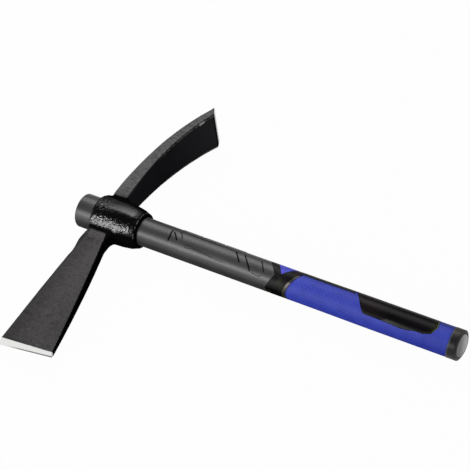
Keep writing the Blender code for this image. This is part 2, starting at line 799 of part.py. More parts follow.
def make_sleeve():
    """The blue soft sleeve, open along the back and where the badge is let in."""
    blue = material("blue_rubber", (0.045, 0.055, 0.400), 0.5)
    half = FIT_GAP / 2
    inner = BASE_RADIUS + FIT_GAP
    middle = GRIP_SWELL_START + GRIP_SWELL_LENGTH / 2
    swollen = GRIP_SWELL_START + GRIP_SWELL_LENGTH
    front = shifted(blue_start, half)
    rear = shifted(cap_joint, -half)
    outside = [(front, grip_radius(GRIP_SWELL_START))]
    for station in (lerp(GRIP_SWELL_START, middle, 0.3), middle, lerp(middle, swollen, 0.6), swollen):
        outside.append((station, grip_radius(station)))
    profile = [(front, inner), *outside, (rear, grip_radius(HANDLE_LENGTH)), (rear, inner)]
    sleeve = turned("grip_sleeve", profile, blue, closed=True)
    low = lerp(JACKET_NECK_RADIUS, BASE_RADIUS, 0.5)
    high = CAP_RADIUS + 2 * FIT_GAP
    combine(sleeve, wrapped("back_opening", offset_outline(back_outline(), half), low, high), "DIFFERENCE")
    combine(sleeve, wrapped("badge_opening", offset_outline(pocket_outline(), half), low, high), "DIFFERENCE")
    return sleeve


def proud_radius(station):
    return grip_radius(station) + BADGE_PROUD


def make_badge():
    """The glossy panel that is let into the sleeve."""
    gloss = material("black_gloss_plastic", (0.008, 0.008, 0.009), 0.12)
    outline = offset_outline(panel_outline(), -FIT_GAP / 2)
    return wrapped("badge_panel", outline, BASE_RADIUS + FIT_GAP, proud_radius, gloss)


def make_edging():
    """The pale edging along the lower edge and the rear end of the panel."""
    pale = material("grey_edging_plastic", (0.20, 0.20, 0.19), 0.35)
    outline = offset_outline(edging_outline(), -FIT_GAP / 2)
    return wrapped("badge_edging", outline, BASE_RADIUS + FIT_GAP, grip_radius, pale)


def make_cap():
    """The butt cap: a cup over the end of the jacket, with a chamfered rim and a recess for the disc."""
    black = material("black_nylon", (0.016, 0.016, 0.016), 0.3)
    inner = JACKET_NECK_RADIUS + FIT_GAP
    front = shifted(cap_joint, FIT_GAP / 2)
    recess = HANDLE_LENGTH - DISC_THICKNESS - FIT_GAP
    rim = DISC_RADIUS + FIT_GAP
    profile = [
        (JACKET_END + FIT_GAP, inner),
        (front, inner),
        (front, CAP_RADIUS),
        (HANDLE_LENGTH - CAP_CHAMFER_RUN, CAP_RADIUS),
        (HANDLE_LENGTH, rim + FIT_GAP),
        (HANDLE_LENGTH, rim),
        (recess, rim),
    ]
    return turned("butt_cap", profile, black)


def make_disc():
    """The grey disc let into the end of the cap, flush with its rim."""
    grey = material("grey_nylon", (0.30, 0.30, 0.29), 0.3)
    start = HANDLE_LENGTH - DISC_THICKNESS
    profile = [
        (start, DISC_RADIUS),
        (HANDLE_LENGTH - DISC_CHAMFER, DISC_RADIUS),
        (HANDLE_LENGTH, DISC_RADIUS - DISC_CHAMFER),
    ]
    return turned("butt_disc", profile, grey)


def main():
    """Builds every piece in the tool's frame and hangs them on one empty, which lays the tool on its side."""
    clear_scene()
    makers = (
        make_head,
        make_core,
        make_jacket,
        make_grip_base,
        make_saddle,
        make_accent,
        make_sleeve,
        make_badge,
        make_edging,
        make_cap,
        make_disc,
    )
    for make in makers:
        make()
    pieces = list(bpy.data.objects)
    frame = bpy.data.objects.new("tool_frame", None)
    frame.location = (-HANDLE_LENGTH / 2, (AXE_REACH_FRONT - ADZE_REACH) / 2, EYE_RADIUS)
    bpy.context.scene.collection.objects.link(frame)
    for piece in pieces:
        piece.parent = frame


main()
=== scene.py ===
"""Looks for a packed hand mattock: a forged head with an axe blade and an adze blade on a moulded handle.

Sizes are in metres and angles in degrees. Every piece is shaped in the tool's own frame, where X runs down the
middle of the handle from the knob at 0 to the butt, +Y is the adze's side and +Z the side with the badge. A station
is a place along X. An angle goes round the handle from the back, which faces the adze, through the badge's side at
90 to the belly at 180.
"""

from __future__ import annotations

import logging
import math
from collections.abc import Callable, Sequence
from dataclasses import dataclass
from enum import Enum
from typing import Union

import bmesh
import bpy
from mathutils import Matrix, Vector, noise

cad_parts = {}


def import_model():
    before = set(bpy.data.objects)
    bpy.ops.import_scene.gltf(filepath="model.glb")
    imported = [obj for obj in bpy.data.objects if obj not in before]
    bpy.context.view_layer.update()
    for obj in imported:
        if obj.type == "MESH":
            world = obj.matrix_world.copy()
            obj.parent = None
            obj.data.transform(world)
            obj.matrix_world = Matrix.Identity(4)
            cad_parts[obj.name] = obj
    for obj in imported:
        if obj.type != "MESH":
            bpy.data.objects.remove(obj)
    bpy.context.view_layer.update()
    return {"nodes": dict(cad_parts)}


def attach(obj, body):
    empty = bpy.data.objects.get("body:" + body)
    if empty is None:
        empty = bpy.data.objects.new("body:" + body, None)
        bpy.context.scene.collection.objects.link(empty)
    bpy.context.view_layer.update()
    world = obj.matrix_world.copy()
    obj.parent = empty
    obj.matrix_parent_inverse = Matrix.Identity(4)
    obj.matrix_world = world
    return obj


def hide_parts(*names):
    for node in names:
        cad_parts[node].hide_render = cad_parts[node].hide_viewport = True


LOG = logging.getLogger("hand_mattock")
TOOL_ORIGIN = Vector((-0.2, 0.01155, 0.0213))
BODY = "root"
WELD = 1e-6
CUT_REACH = 1e-7
FLAT_CORNERS = 24
PLATE_STEP = 0.004
RIM_STEPS = 3
CORNER_STEPS = 6
CORNER_LIMIT = 0.49

Pair = tuple[float, float]
Triple = tuple[float, float, float]
Line = tuple[Pair, Pair]
Outline = list[Pair]
Pairs = tuple[Pair, ...]
Course = tuple[tuple[float, Triple], ...]
Grained = tuple[tuple[float, ...], Pair]
Piece = bpy.types.Object
Material = bpy.types.Material
Edge = Union[float, Callable[[float], float]]
Value = Union["Signal", float, tuple]


# Plain arithmetic


def lerp(first: float, second: float, share: float) -> float:
    """Returns the value at this share of the way from the first to the second."""
    return first + (second - first) * share


def smooth_step(value: float) -> float:
    """Returns 0 below 0, 1 above 1 and an S-curve between them."""
    share = min(max(value, 0.0), 1.0)
    return share * share * (3.0 - 2.0 * share)


def along(knots: Sequence[Pair], value: float) -> float:
    """Follows straight lines between knots.

    Args:
        knots: (place, height) pairs in rising order of place.
        value: the place to read.

    Returns:
        The height there, held at the last knot's beyond it.
    """
    for (low, first), (high, second) in zip(knots, knots[1:]):
        if value <= high:
            return lerp(first, second, (value - low) / (high - low))
    return knots[-1][1]


def line_at(line: Line, x: Value) -> Value:
    """Returns the height of a straight line through two points, at a place that may be a signal."""
    (x1, y1), (x2, y2) = line
    return (x - x1) * ((y2 - y1) / (x2 - x1)) + y1


def from_back(angle: float) -> float:
    """Returns the degrees between an angle and the back of the handle, either way round."""
    return abs((angle + 180.0) % 360.0 - 180.0)


def value_at(size: Edge, place: float) -> float:
    """Reads a size that is either a number or a function of its place."""
    return size(place) if callable(size) else size


def shifted(edge: Edge, distance: float) -> Edge:
    """Returns a boundary moved along the handle."""
    return lambda angle: value_at(edge, angle) + distance


def mirrored(outline: Outline) -> Outline:
    """Returns the same outline on the other side of the handle."""
    return [(station, -angle) for station, angle in outline]


def round_the_handle(station: float, radius: float, angle: float) -> Vector:
    """Returns the point at a station, a radius and an angle."""
    turn = math.radians(angle)
    return Vector((station, radius * math.cos(turn), radius * math.sin(turn)))


def quarter_round(radius: float, steps: int) -> list[Pair]:
    """Returns (run, drop) pairs along a quarter circle, from its start at (0, radius) to (radius, 0)."""
    turns = [math.radians(90.0 * step / steps) for step in range(steps + 1)]
    return [(radius * (1.0 - math.cos(turn)), radius * (1.0 - math.sin(turn))) for turn in turns]


def rim_before(front: Edge, inner: float, top: float, rounding: float) -> list[tuple[Edge, float]]:
    """Returns the profile of a sleeve's front end, from its bore over a rounded rim to its outside."""
    rim = [(shifted(front, run), top - drop) for run, drop in quarter_round(rounding, RIM_STEPS)[1:]]
    return [(front, inner), (front, top - rounding), *rim]


def rim_behind(rear: Edge, top: float, rounding: float) -> list[tuple[Edge, float]]:
    """Returns the profile of a sleeve's rounded rear rim, from its outside inwards."""
    return [(shifted(rear, -run), top - drop) for run, drop in quarter_round(rounding, RIM_STEPS)[::-1]]


@dataclass(frozen=True)
class HandleSizes:
    """The sizes that the handle's pieces share."""

    length: float = 0.400
    fit_gap: float = 0.0003
    knob_radius: float = 0.0162
    knob_rounding: float = 0.0016
    eye_front: float = 0.0185
    eye_length: float = 0.0498
    seat_end_radius: float = 0.0139
    shaft_radius: float = 0.0136
    shaft_blend: float = 0.0020
    neck_radius: float = 0.0110
    core_radius: float = 0.0078
    cap_length: float = 0.0110
    cap_radius: float = 0.0142
    cap_skew: float = 0.0028
    cap_skew_angle: float = 125.0
    cap_floor: float = 0.0018
    disc_thickness: float = 0.0020
    grip_radius: float = 0.01365
    base_radius: float = 0.01235
    swell: float = 0.00030
    swell_start: float = 0.240
    swell_length: float = 0.080
    rim: float = 0.00025

    @property
    def eye_rear(self) -> float:
        """Station of the eye's mouth."""
        return self.eye_front + self.eye_length

    def seat_radius(self, station: float) -> float:
        """Radius of the taper that the head is driven onto."""
        return lerp(self.knob_radius, self.seat_end_radius, (station - self.eye_front) / self.eye_length)

    def swell_at(self, station: float) -> float:
        """How far the grip has swollen at a station."""
        return self.swell * smooth_step((station - self.swell_start) / self.swell_length)

    def cap_joint(self, angle: float) -> float:
        """Station of the slanted joint between the grip and the cap."""
        return self.length - self.cap_length + self.cap_skew * math.cos(math.radians(angle - self.cap_skew_angle))


HANDLE = HandleSizes()
UNROLL = math.radians(1.0) * HANDLE.grip_radius


# Mesh building


def linked(name: str, data: bpy.types.ID) -> Piece:
    """Makes an object of a mesh, lamp or camera and puts it into the scene."""
    made = bpy.data.objects.new(name, data)
    bpy.context.scene.collection.objects.link(made)
    return made


class Shape:
    """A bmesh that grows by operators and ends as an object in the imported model's frame."""

    def __init__(self, angular_steps: int = 192) -> None:
        """Starts an empty shape whose rings have this many points."""
        self.mesh = bmesh.new()
        self.angles = [360.0 * k / angular_steps for k in range(angular_steps)]

    def ring(self, station: Edge, radius: float) -> list[Vector]:
        """Returns the points of one loop round the handle, whose station may follow the angle."""
        return [round_the_handle(value_at(station, a), radius, a) for a in self.angles]

    def _loop_edges(self, loop: list[bmesh.types.BMVert]) -> list[bmesh.types.BMEdge]:
        """Returns the edges between neighbours in a closed loop of vertices."""
        return [self.mesh.edges.get((loop[k - 1], vert)) for k, vert in enumerate(loop)]

    def loft(self, rings: Sequence[Sequence[Vector]], closed: bool = False) -> None:
        """Extrudes one loop through a row of rings.

        Args:
            rings: loops with equally many points, in order.
            closed: joins the last ring to the first instead of filling both ends.
        """
        first = bmesh.ops.create_circle(self.mesh, segments=len(rings[0]), radius=1.0)["verts"]
        loop = list(first)
        for vert, point in zip(loop, rings[0]):
            vert.co = point
        for points in rings[1:]:
            made = set(bmesh.ops.extrude_edge_only(self.mesh, edges=self._loop_edges(loop))["geom"])
            loop = [next(e.other_vert(v) for e in v.link_edges if e.other_vert(v) in made) for v in loop]
            for vert, point in zip(loop, points):
                vert.co = point
        ends = self._loop_edges(first), self._loop_edges(loop)
        if closed:
            bmesh.ops.bridge_loops(self.mesh, edges=ends[0] + ends[1])
        else:
            for edges in ends:
                bmesh.ops.edgeloop_fill(self.mesh, edges=edges)

    def spin(self, profile: Sequence[Pair]) -> None:
        """Turns a (station, radius) profile round the handle's axis and closes its poles."""
        verts = [self.mesh.verts.new((station, radius, 0.0)) for station, radius in profile]
        edges = [self.mesh.edges.new(pair) for pair in zip(verts, verts[1:])]
        bmesh.ops.spin(
            self.mesh, geom=verts + edges, cent=(0, 0, 0), axis=(1, 0, 0), steps=len(self.angles), angle=math.tau,
            use_merge=True,
        )
        bmesh.ops.remove_doubles(self.mesh, verts=self.mesh.verts, dist=WELD)

    def plate(self, outline: Outline, low: float, high: float, rounding: float) -> None:
        """Raises a flat plate on the unrolled handle and bends it round.

        Args:
            outline: (station, angle) corners.
            low: inner radius.
            high: outer radius, before the grip's swelling.
            rounding: radius of the upper rim.
        """
        mesh = self.mesh
        mesh.faces.new([mesh.verts.new((station, angle * UNROLL, low)) for station, angle in outline])
        raised = bmesh.ops.extrude_face_region(mesh, geom=mesh.faces[:])["geom"]
        top = [part for part in raised if isinstance(part, bmesh.types.BMVert)]
        bmesh.ops.translate(mesh, verts=top, vec=(0.0, 0.0, high - low))
        if rounding:
            rim = [e for e in mesh.edges if all(v.co.z > (low + high) / 2 for v in e.verts)]
            bmesh.ops.bevel(
                mesh, geom=rim, offset=rounding, segments=RIM_STEPS, profile=0.5, affect="EDGES", material=-1,
                clamp_overlap=True,
            )
        self._slice(1, math.radians(self.angles[1]) * HANDLE.grip_radius)
        self._slice(0, PLATE_STEP)
        for vert in mesh.verts:
            radius = vert.co.z + HANDLE.swell_at(vert.co.x)
            vert.co = round_the_handle(vert.co.x, radius, vert.co.y / UNROLL)

    def _slice(self, axis: int, step: float) -> None:
        """Cuts the flat plate at even steps along one axis, so that it can bend."""
        places = [vert.co[axis] for vert in self.mesh.verts]
        normal = Vector((axis == 0, axis == 1, 0))
        for k in range(math.ceil(min(places) / step), math.floor(max(places) / step) + 1):
            parts = self.mesh.verts[:] + self.mesh.edges[:] + self.mesh.faces[:]
            bmesh.ops.bisect_plane(self.mesh, geom=parts, dist=CUT_REACH, plane_co=normal * k * step, plane_no=normal)

    def to_object(self, name: str) -> Piece:
        """Makes an object of the shape, still in the tool's frame, with its faces out."""
        bmesh.ops.recalc_face_normals(self.mesh, faces=self.mesh.faces)
        if self.mesh.calc_volume(signed=True) < 0.0:
            bmesh.ops.reverse_faces(self.mesh, faces=self.mesh.faces)
        data = bpy.data.meshes.new(name)
        self.mesh.to_mesh(data)
        self.mesh.free()
        return linked(name, data)


def sleeve_object(name: str, profile: Sequence[tuple[Edge, float]], closed: bool = False) -> Piece:
    """Returns a moulding round the handle, made of one ring for each (station, radius) of its profile."""
    shape = Shape()
    shape.loft([shape.ring(station, radius) for station, radius in profile], closed)
    return shape.to_object(name)


def plate_object(name: str, outline: Outline, low: float, high: float, rounding: float = 0.0) -> Piece:
    """Returns a bent plate as an object."""
    shape = Shape()
    shape.plate(outline, low, high, rounding)
    return shape.to_object(name)


def unrolled(outline: Outline) -> list[Vector]:
    """Returns (station, angle) corners as points on the unrolled handle."""
    return [Vector((station, angle * UNROLL)) for station, angle in outline]


def rolled(points: Sequence[Vector]) -> Outline:
    """Returns points on the unrolled handle as (station, angle) corners."""
    return [(point.x, point.y / UNROLL) for point in points]


def offset_outline(outline: Outline, distance: float) -> Outline:
    """Moves each side of an outline outwards, or inwards if the distance is negative."""
    points = unrolled(outline)
    turn = sum(a.x * b.y - b.x * a.y for a, b in zip(points, points[1:] + points[:1]))
    distance = math.copysign(distance, distance * turn)
    moved = []
    for k, point in enumerate(points):
        before = (point - points[k - 1]).normalized()
        after = (points[(k + 1) % len(points)] - point).normalized()
        before, after = Vector((before.y, -before.x)), Vector((after.y, -after.x))
        moved.append(point + (before + after) / (1.0 + before.dot(after)) * distance)
    return rolled(moved)


def ribbon(path: Outline, width: float) -> Outline:
    """Returns the outline of a narrow strip along a path, a third narrower at its ends."""
    points = unrolled(path)
    near, far = [], []
    for k, point in enumerate(points):
        heading = (points[min(k + 1, len(points) - 1)] - points[max(k - 1, 0)]).normalized()
        normal = Vector((heading.y, -heading.x)) * width / (3 if k in (0, len(points) - 1) else 2)
        near.append(point + normal)
        far.append(point - normal)
    return rolled(near + far[::-1])


class Cut(Enum):
    """What a Boolean does with its second shape."""

    ADD = "UNION"
    TAKE = "DIFFERENCE"


def carve(target: Piece, steps: Sequence[tuple[Cut, Piece]]) -> None:
    """Works Booleans into an object's own mesh and welds it.

    Args:
        target: the object that changes.
        steps: what to do and with which shape, in order. The shapes are used up.
    """
    for cut, other in steps:
        change = target.modifiers.new(other.name, "BOOLEAN")
        change.operation = cut.value
        change.solver = "EXACT"
        change.object = other
    graph = bpy.context.evaluated_depsgraph_get()
    old = target.data
    target.data = bpy.data.meshes.new_from_object(target.evaluated_get(graph))
    target.data.name = target.name
    target.modifiers.clear()
    bpy.data.meshes.remove(old)
    welded = bmesh.new()
    welded.from_mesh(target.data)
    bmesh.ops.remove_doubles(welded, verts=welded.verts[:], dist=WELD)
    welded.to_mesh(target.data)
    welded.free()
    for _, other in steps:
        data = other.data
        bpy.data.objects.remove(other)
        bpy.data.meshes.remove(data)


def settle(piece: Piece, finish: Finish, node: str, sharp: float = 32.0) -> None:
    """Gives a shaped piece its place, shading, finish and body.

    Args:
        piece: an object whose mesh is in the tool's frame.
        finish: what its surface looks like.
        node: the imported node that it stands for.
        sharp: degrees above which an edge stays crisp.
    """
    data = piece.data
    data.transform(Matrix.Translation(TOOL_ORIGIN))
    data.shade_smooth()
    data.set_sharp_from_angle(angle=math.radians(sharp))
    for face in data.polygons:
        face.use_smooth = len(face.vertices) < FLAT_CORNERS
    data.materials.clear()
    data.materials.append(finish.material())
    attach(piece, BODY)
    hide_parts(node)
    LOG.info("%s: %d faces, stands for %s", piece.name, len(data.polygons), node)


# Shader building


def operator(operation: str, swapped: bool = False) -> Callable[..., Signal]:
    """Makes a method that adds one Math node.

    Args:
        operation: what the node does with the signal and the other value, if it takes one.
        swapped: puts the other value first, for a reflected form.

    Returns:
        The method.
    """

    def method(self: Signal, *others: Value) -> Signal:
        """Adds the node."""
        values = (*others, self) if swapped else (self, *others)
        return self.graph.add("ShaderNodeMath", {"operation": operation}, dict(enumerate(values)))

    return method


class Signal:
    """A node's output that takes part in plain arithmetic. turn_of is the angle over another value across it."""

    def __init__(self, graph: Graph, socket: bpy.types.NodeSocket) -> None:
        """Wraps one output socket of a graph."""
        self.graph = graph
        self.socket = socket

    __add__ = __radd__ = operator("ADD")
    __sub__ = operator("SUBTRACT")
    __rsub__ = operator("SUBTRACT", swapped=True)
    __mul__ = __rmul__ = operator("MULTIPLY")
    __truediv__ = operator("DIVIDE")
    __pow__ = operator("POWER")
    size = operator("ABSOLUTE")
    root = operator("SQRT")
    sine = operator("SINE")
    least = operator("MINIMUM")
    most = operator("MAXIMUM")
    turn_of = operator("ARCTAN2")

    def ramp(self, low: float, high: float) -> Signal:
        """S-curve from 0 at low to 1 at high, which may also run downwards."""
        settings = {"interpolation_type": "SMOOTHSTEP"}
        if low < high:
            return self.graph.add("ShaderNodeMapRange", settings, {0: self, 1: low, 2: high})
        return 1.0 - self.graph.add("ShaderNodeMapRange", settings, {0: self, 1: high, 2: low})

    def part(self, low: float, high: float, share: float) -> Signal:
        """The same S-curve, but only up to this share."""
        return self.ramp(low, high) * share


def inside(signals: Sequence[Signal], fades: Sequence[Pair]) -> Signal:
    """Returns 1 where every signal is past its own (low, high) fade, and 0 where one is before it."""
    masks = [signal.ramp(*fade) for signal, fade in zip(signals, fades)]
    return math.prod(masks[1:], start=masks[0])


class Graph:
    """The node tree of one material."""

    def __init__(self, name: str) -> None:
        """Starts a material with nothing but its output."""
        self.material = bpy.data.materials.new(name)
        self.material.use_nodes = True
        self.tree = self.material.node_tree
        self.tree.nodes.clear()
        self.output = self.tree.nodes.new("ShaderNodeOutputMaterial")

    def add(
        self,
        kind: str,
        settings: dict[str, object] | None = None,
        inputs: dict[int | str, Value] | None = None,
        output: int | str = 0,
    ) -> Signal:
        """Adds one node.

        Args:
            kind: the node's type.
            settings: its properties, set first. "stops" fills a colour ramp with (place, colour) pairs.
            inputs: a value or a signal for each named or numbered socket.
            output: the socket to hand back.

        Returns:
            The signal of that output.
        """
        node = self.tree.nodes.new(kind)
        for key, setting in (settings or {}).items():
            if key == "stops":
                self._fill_ramp(node.color_ramp, setting)
            else:
                setattr(node, key, setting)
        for key, value in (inputs or {}).items():
            if isinstance(value, Signal):
                self.tree.links.new(value.socket, node.inputs[key])
            else:
                node.inputs[key].default_value = value
        return Signal(self, node.outputs[output])

    @staticmethod
    def _fill_ramp(ramp: bpy.types.ColorRamp, stops: Course) -> None:
        """Gives a colour ramp its stops."""
        while len(ramp.elements) < len(stops):
            ramp.elements.new(1.0)
        for element, (place, colour) in zip(ramp.elements, stops):
            element.position = place
            element.color = (*colour, 1.0)

    def place(self) -> Signal:
        """Position in the tool's own frame."""
        coordinates = self.add("ShaderNodeTexCoord", output="Object")
        return self.add("ShaderNodeVectorMath", {"operation": "SUBTRACT"}, {0: coordinates, 1: TOOL_ORIGIN[:]})

    def parts(self, vector: Signal) -> tuple[Signal, Signal, Signal]:
        """The three components of a vector."""
        first = self.add("ShaderNodeSeparateXYZ", {}, {0: vector})
        outputs = first.socket.node.outputs
        return first, Signal(self, outputs[1]), Signal(self, outputs[2])

    def noise(
        self,
        vector: Signal,
        size: float,
        detail: float = 2.0,
        roughness: float = 0.5,
        stretch: Triple | None = None,
    ) -> Signal:
        """Adds soft noise.

        Args:
            vector: the place to read.
            size: rough width of a blotch.
            detail: how many finer layers it has.
            roughness: how strong those are.
            stretch: a scale along each axis, which draws the blotches out where it is small.

        Returns:
            A value from 0 to 1.
        """
        if stretch:
            vector = self.add("ShaderNodeMapping", {}, {"Vector": vector, "Scale": stretch})
        inputs = {"Vector": vector, "Scale": 1.0 / size, "Detail": detail, "Roughness": roughness}
        return self.add("ShaderNodeTexNoise", {}, inputs)

    def patches(self, vector: Signal, grain: Sequence[float], limits: Pair, stretch: Triple | None = None) -> Signal:
        """Noise of this grain, as patches that fade between two of its values."""
        return self.noise(vector, *grain, stretch=stretch).ramp(*limits)

    def blend(self, share: Value, first: Value, second: Value) -> Signal:
        """Mixes two colours."""
        first, second = ((*v, 1.0) if isinstance(v, tuple) else v for v in (first, second))
        return self.add("ShaderNodeMix", {"data_type": "RGBA"}, {0: share, 6: first, 7: second}, 2)

    def tones(self, value: Signal, stops: Course) -> Signal:
        """Colours along a value, from (value, colour) stops in rising order."""
        low, high = stops[0][0], stops[-1][0]
        shares = [((place - low) / (high - low), colour) for place, colour in stops]
        return self.add("ShaderNodeValToRGB", {"stops": shares}, {0: (value - low) * (1.0 / (high - low))})

    def bump(self, height: Signal, depth: float) -> Signal:
        """A normal bent by a height from 0 to 1 that stands for this depth."""
        return self.add("ShaderNodeBump", {}, {"Height": height, "Distance": depth, "Strength": 1.0})

    def shader(self, **inputs: Value) -> Signal:
        """Adds one Principled shader, whose sockets are named with underscores for spaces."""
        named = {key.replace("_", " "): value for key, value in inputs.items()}
        named = {key: (*value, 1.0) if isinstance(value, tuple) else value for key, value in named.items()}
        return self.add("ShaderNodeBsdfPrincipled", {}, named)

    def ends_in(self, shader: Signal) -> Material:
        """Joins a shader to the output and hands back the material."""
        self.tree.links.new(shader.socket, self.output.inputs["Surface"])
        return self.material

    def mixed(self, share: Value, first: Signal, second: Signal) -> Material:
        """Ends the graph in two shaders, of which the second takes this share."""
        return self.ends_in(self.add("ShaderNodeMixShader", {}, {0: share, 1: first, 2: second}))

    def polished(self, share: Signal, level: float, **inputs: Value) -> Material:
        """Ends the graph in one surface that has this specular level where it is shiny and none elsewhere."""
        dull, shiny = (self.shader(Specular_IOR_Level=strength, **inputs) for strength in (0.0, level))
        return self.mixed(share, dull, shiny)


# Finishes


def times(colour: Triple, factor: float) -> Triple:
    """Returns a colour made lighter or darker by a factor."""
    return tuple(channel * factor for channel in colour)


@dataclass(frozen=True)
class Finish:
    """What one kind of surface looks like."""

    slot: str

    @staticmethod
    def polish(y: Signal, z: Signal, centre: float = 52.0, half: float = 116.0, soft: float = 12.0) -> Signal:
        """Masks the side where hands and packing keep the skin shiny.

        Args:
            y: distance from the handle's axis towards the adze.
            z: distance from the axis towards the badge.
            centre: angle of the middle of the shiny side.
            half: angle from there to where the shine ends.
            soft: half the angle over which it fades.

        Returns:
            1 on the shiny side and 0 on the dull one.
        """
        turn = math.radians(centre)
        cosine = (y * math.cos(turn) + z * math.sin(turn)) / (y * y + z * z).root()
        return cosine.ramp(math.cos(math.radians(half + soft)), math.cos(math.radians(half - soft)))

    def material(self) -> Material:
        """Builds the finish's material."""
        raise NotImplementedError


@dataclass(frozen=True)
class ForgedPaint(Finish):
    """Thick black paint over a rough forging: glossy on the eye, dry on the blades, ground off at their edges."""

    slot: str = "head_paint"
    # The lines that part the head's faces, each through two points, and the bows and borders along them
    axe_line: Line = ((0.0252, -0.1706), (0.0777, -0.1658))
    axe_edge: Line = ((0.0252, -0.1770), (0.0777, -0.1694))
    axe_back: Line = ((-0.0360, 0.0450), (-0.1694, 0.0777))
    axe_bow: Triple = (0.0019, -0.108, 0.085)
    adze_bevel: Line = ((0.0563, 0.1452), (0.0520, 0.1537))
    adze_ground: float = 0.1487
    adze_ground_fade: float = 0.0004
    adze_rear: tuple[float, ...] = (0.0372, -0.029233, 0.22064, 6.29071)
    adze_front: tuple[float, ...] = (0.0181367, 0.0618625, 0.165927, 5.45081)
    adze_halves: Pair = (0.0105, 0.0212)
    adze_bow: float = 0.0013
    adze_run: Pair = (0.0205, 0.1537)
    bevel_wander: Pair = (0.5, 0.3)
    bevel_fades: Pairs = ((-0.0002, 0.0002), (-0.0006, -0.0002), (-0.0003, -0.0007))
    on_axe: Pair = (0.0, -0.001)
    on_adze: Pair = (0.020, 0.021)
    eye_radius: float = 0.0225
    eye_fade: float = 0.0008
    clear_of_eye: Pair = (0.0233, 0.0255)
    mouth: float = 0.0640
    mouth_fade: float = 0.0012
    wander: float = 0.0008
    wander_grain: Pair = (0.0035, 3.0)
    # Colours
    eye_colour: Triple = (0.0008, 0.0008, 0.0010)
    # Painted shade for the adze's rear face, which faces away from the lamps
    rear_shade_colour: Triple = (0.003, 0.003, 0.003)
    dry_colour: Triple = (0.080, 0.076, 0.078)
    side_colour: Triple = (0.120, 0.120, 0.122)
    speck_colour: Triple = (0.13, 0.125, 0.13)
    worn_colour: Triple = (0.17, 0.17, 0.17)
    chip_colour: Triple = (0.52, 0.52, 0.51)
    adze_root_colour: Triple = (0.020, 0.020, 0.023)
    adze_tip_colour: Triple = (0.031, 0.031, 0.034)
    adze_tone_run: Pair = (0.080, 0.135)
    steel: Triple = (1.0, 1.0, 0.985)
    dull_steel: Triple = (0.42, 0.42, 0.41)
    # The dust on the axe's cheeks, and the painted sheen and glints near their root
    cheek_fade: Pair = (-0.0004, -0.0012)
    cheek_shift: Triple = (0.005, 2.0, 0.0025)
    mottle: Grained = ((0.0060, 3.0, 0.7), (0.3, 0.7))
    cheek_grain: Triple = (0.0026, 2.0, 0.8)
    cheek_tone: Triple = (0.22, 1.20, 0.85)
    tip_shade: Triple = (-0.055, -0.150, 0.25)
    front_shade: Triple = (0.046, 0.027, 0.30)
    border_shade: Triple = (0.0262, 0.0240, 0.45)
    bevel_shade: Triple = (0.0040, 0.0010, 0.30)
    bevel_shade_run: Pair = (0.062, 0.045)
    patch_fades: Pairs = ((-0.0333, -0.0326), (-0.0225, -0.0240))
    patch_sheen_tone: Pair = (0.24, 1.4)
    arc_fades: Pairs = ((-0.0346, -0.0338), (-0.0328, -0.0334))
    arc_shade: float = 0.30
    root_fade: Pair = (0.0355, 0.0285)
    speck_patches: Grained = ((0.0012, 2.0, 0.6), (0.52, 0.70))
    speck_and_glint_share: Pair = (0.8, 0.12)
    mark_patches: Grained = ((0.0017, 1.0), (0.60, 0.68))
    mark_fades: Pairs = ((-0.150, -0.158), (0.045, 0.055))
    mark_share: float = 0.6
    # The adze's narrow sides and rear face
    side_grain: Triple = (0.0036, 3.0, 0.8)
    side_stretch: Triple = (0.6, 1.9, 1.0)
    side_wander: float = 0.4
    side_fades: Pairs = ((-0.0010, -0.0004), (-0.0008, -0.0016))
    side_front: Triple = (-0.0013, -0.0005, 0.55)
    side_tone: Pair = (2.6, 0.88)
    rear_shade_fades: Pairs = ((-0.0012, -0.0004), (0.1455, 0.1435))
    worn_fades: Pairs = ((-0.0020, -0.0016), (-0.0003, -0.0008), (-0.0013, -0.0007), (0.072, 0.085))
    worn_patches: Grained = ((0.004, 1.0), (0.30, 0.55))
    chip_fades: Pairs = ((-0.0030, -0.0024), (-0.0001, -0.0006), (0.0, 0.002), (-0.0016, -0.0010))
    chip_run: Triple = (0.1290, 0.1352, 0.0005)
    # The painted highlight: a broken pale line round the top of the eye's mouth
    mouth_line: Pairs = ((0.0658, 0.0660), (0.0669, 0.0667), (0.002, 0.006))
    mouth_patches: Grained = ((0.0024, 1.0), (0.44, 0.60))
    mouth_glint_share: float = 0.75
    # The ground steel, and the painted glow that brightens it
    stroke_grain: Pair = (0.002, 3.0)
    stroke_stretch: Triple = (7.0, 0.5, 2.0)
    stroke_share: float = 0.06
    steel_shades: tuple[Triple, ...] = ((0.15, 1.0, 0.26), (0.90, 1.0, 0.15))
    adze_shade: Triple = (0.1528, 0.1487, 0.8)
    edge_fades: Pairs = ((0.0008, 0.0005), (0.030, 0.050))
    edge_share: float = 0.95
    steel_metal: float = 0.05
    steel_roughness: float = 0.5
    # The share of the steel's colour that it glows with: painted light, since the steel is no lamp
    painted_glow: float = 0.34
    # The dry skin
    fine_grain: Triple = (0.0011, 2.0, 0.6)
    dry_roughness: Pair = (0.2, 0.48)
    dry_relief: Pair = (0.3, 0.0006)
    # The gloss on the eye, in bands round it, and on the adze's front
    wet_roughness: Pair = (0.08, 0.16)
    wet_back: Triple = (-0.004, 0.002, 0.16)
    wet_level: float = 0.60
    wet_relief: float = 0.0002
    near_gloss: Triple = (110.5, 46.5, 4.0)
    far_gloss: Triple = (-22.0, 45.0, 4.0)
    gap: Triple = (111.5, 11.0, 5.0)
    gap_share: Pair = (0.85, 0.55)
    eye_front: Pairs = ((-0.0135, -0.0095), (0.044, 0.026))
    dent_patches: Grained = ((0.0023, 1.0), (0.42, 0.58))
    dent_share: float = 0.65
    dusty_top: Pairs = ((-0.0045, 0.0), (0.040, 0.060))
    dusty_share: Pair = (0.56, 0.40)
    front_gloss: Pairs = ((-0.0014, -0.0006), (-0.0006, -0.0020), (0.024, 0.032))

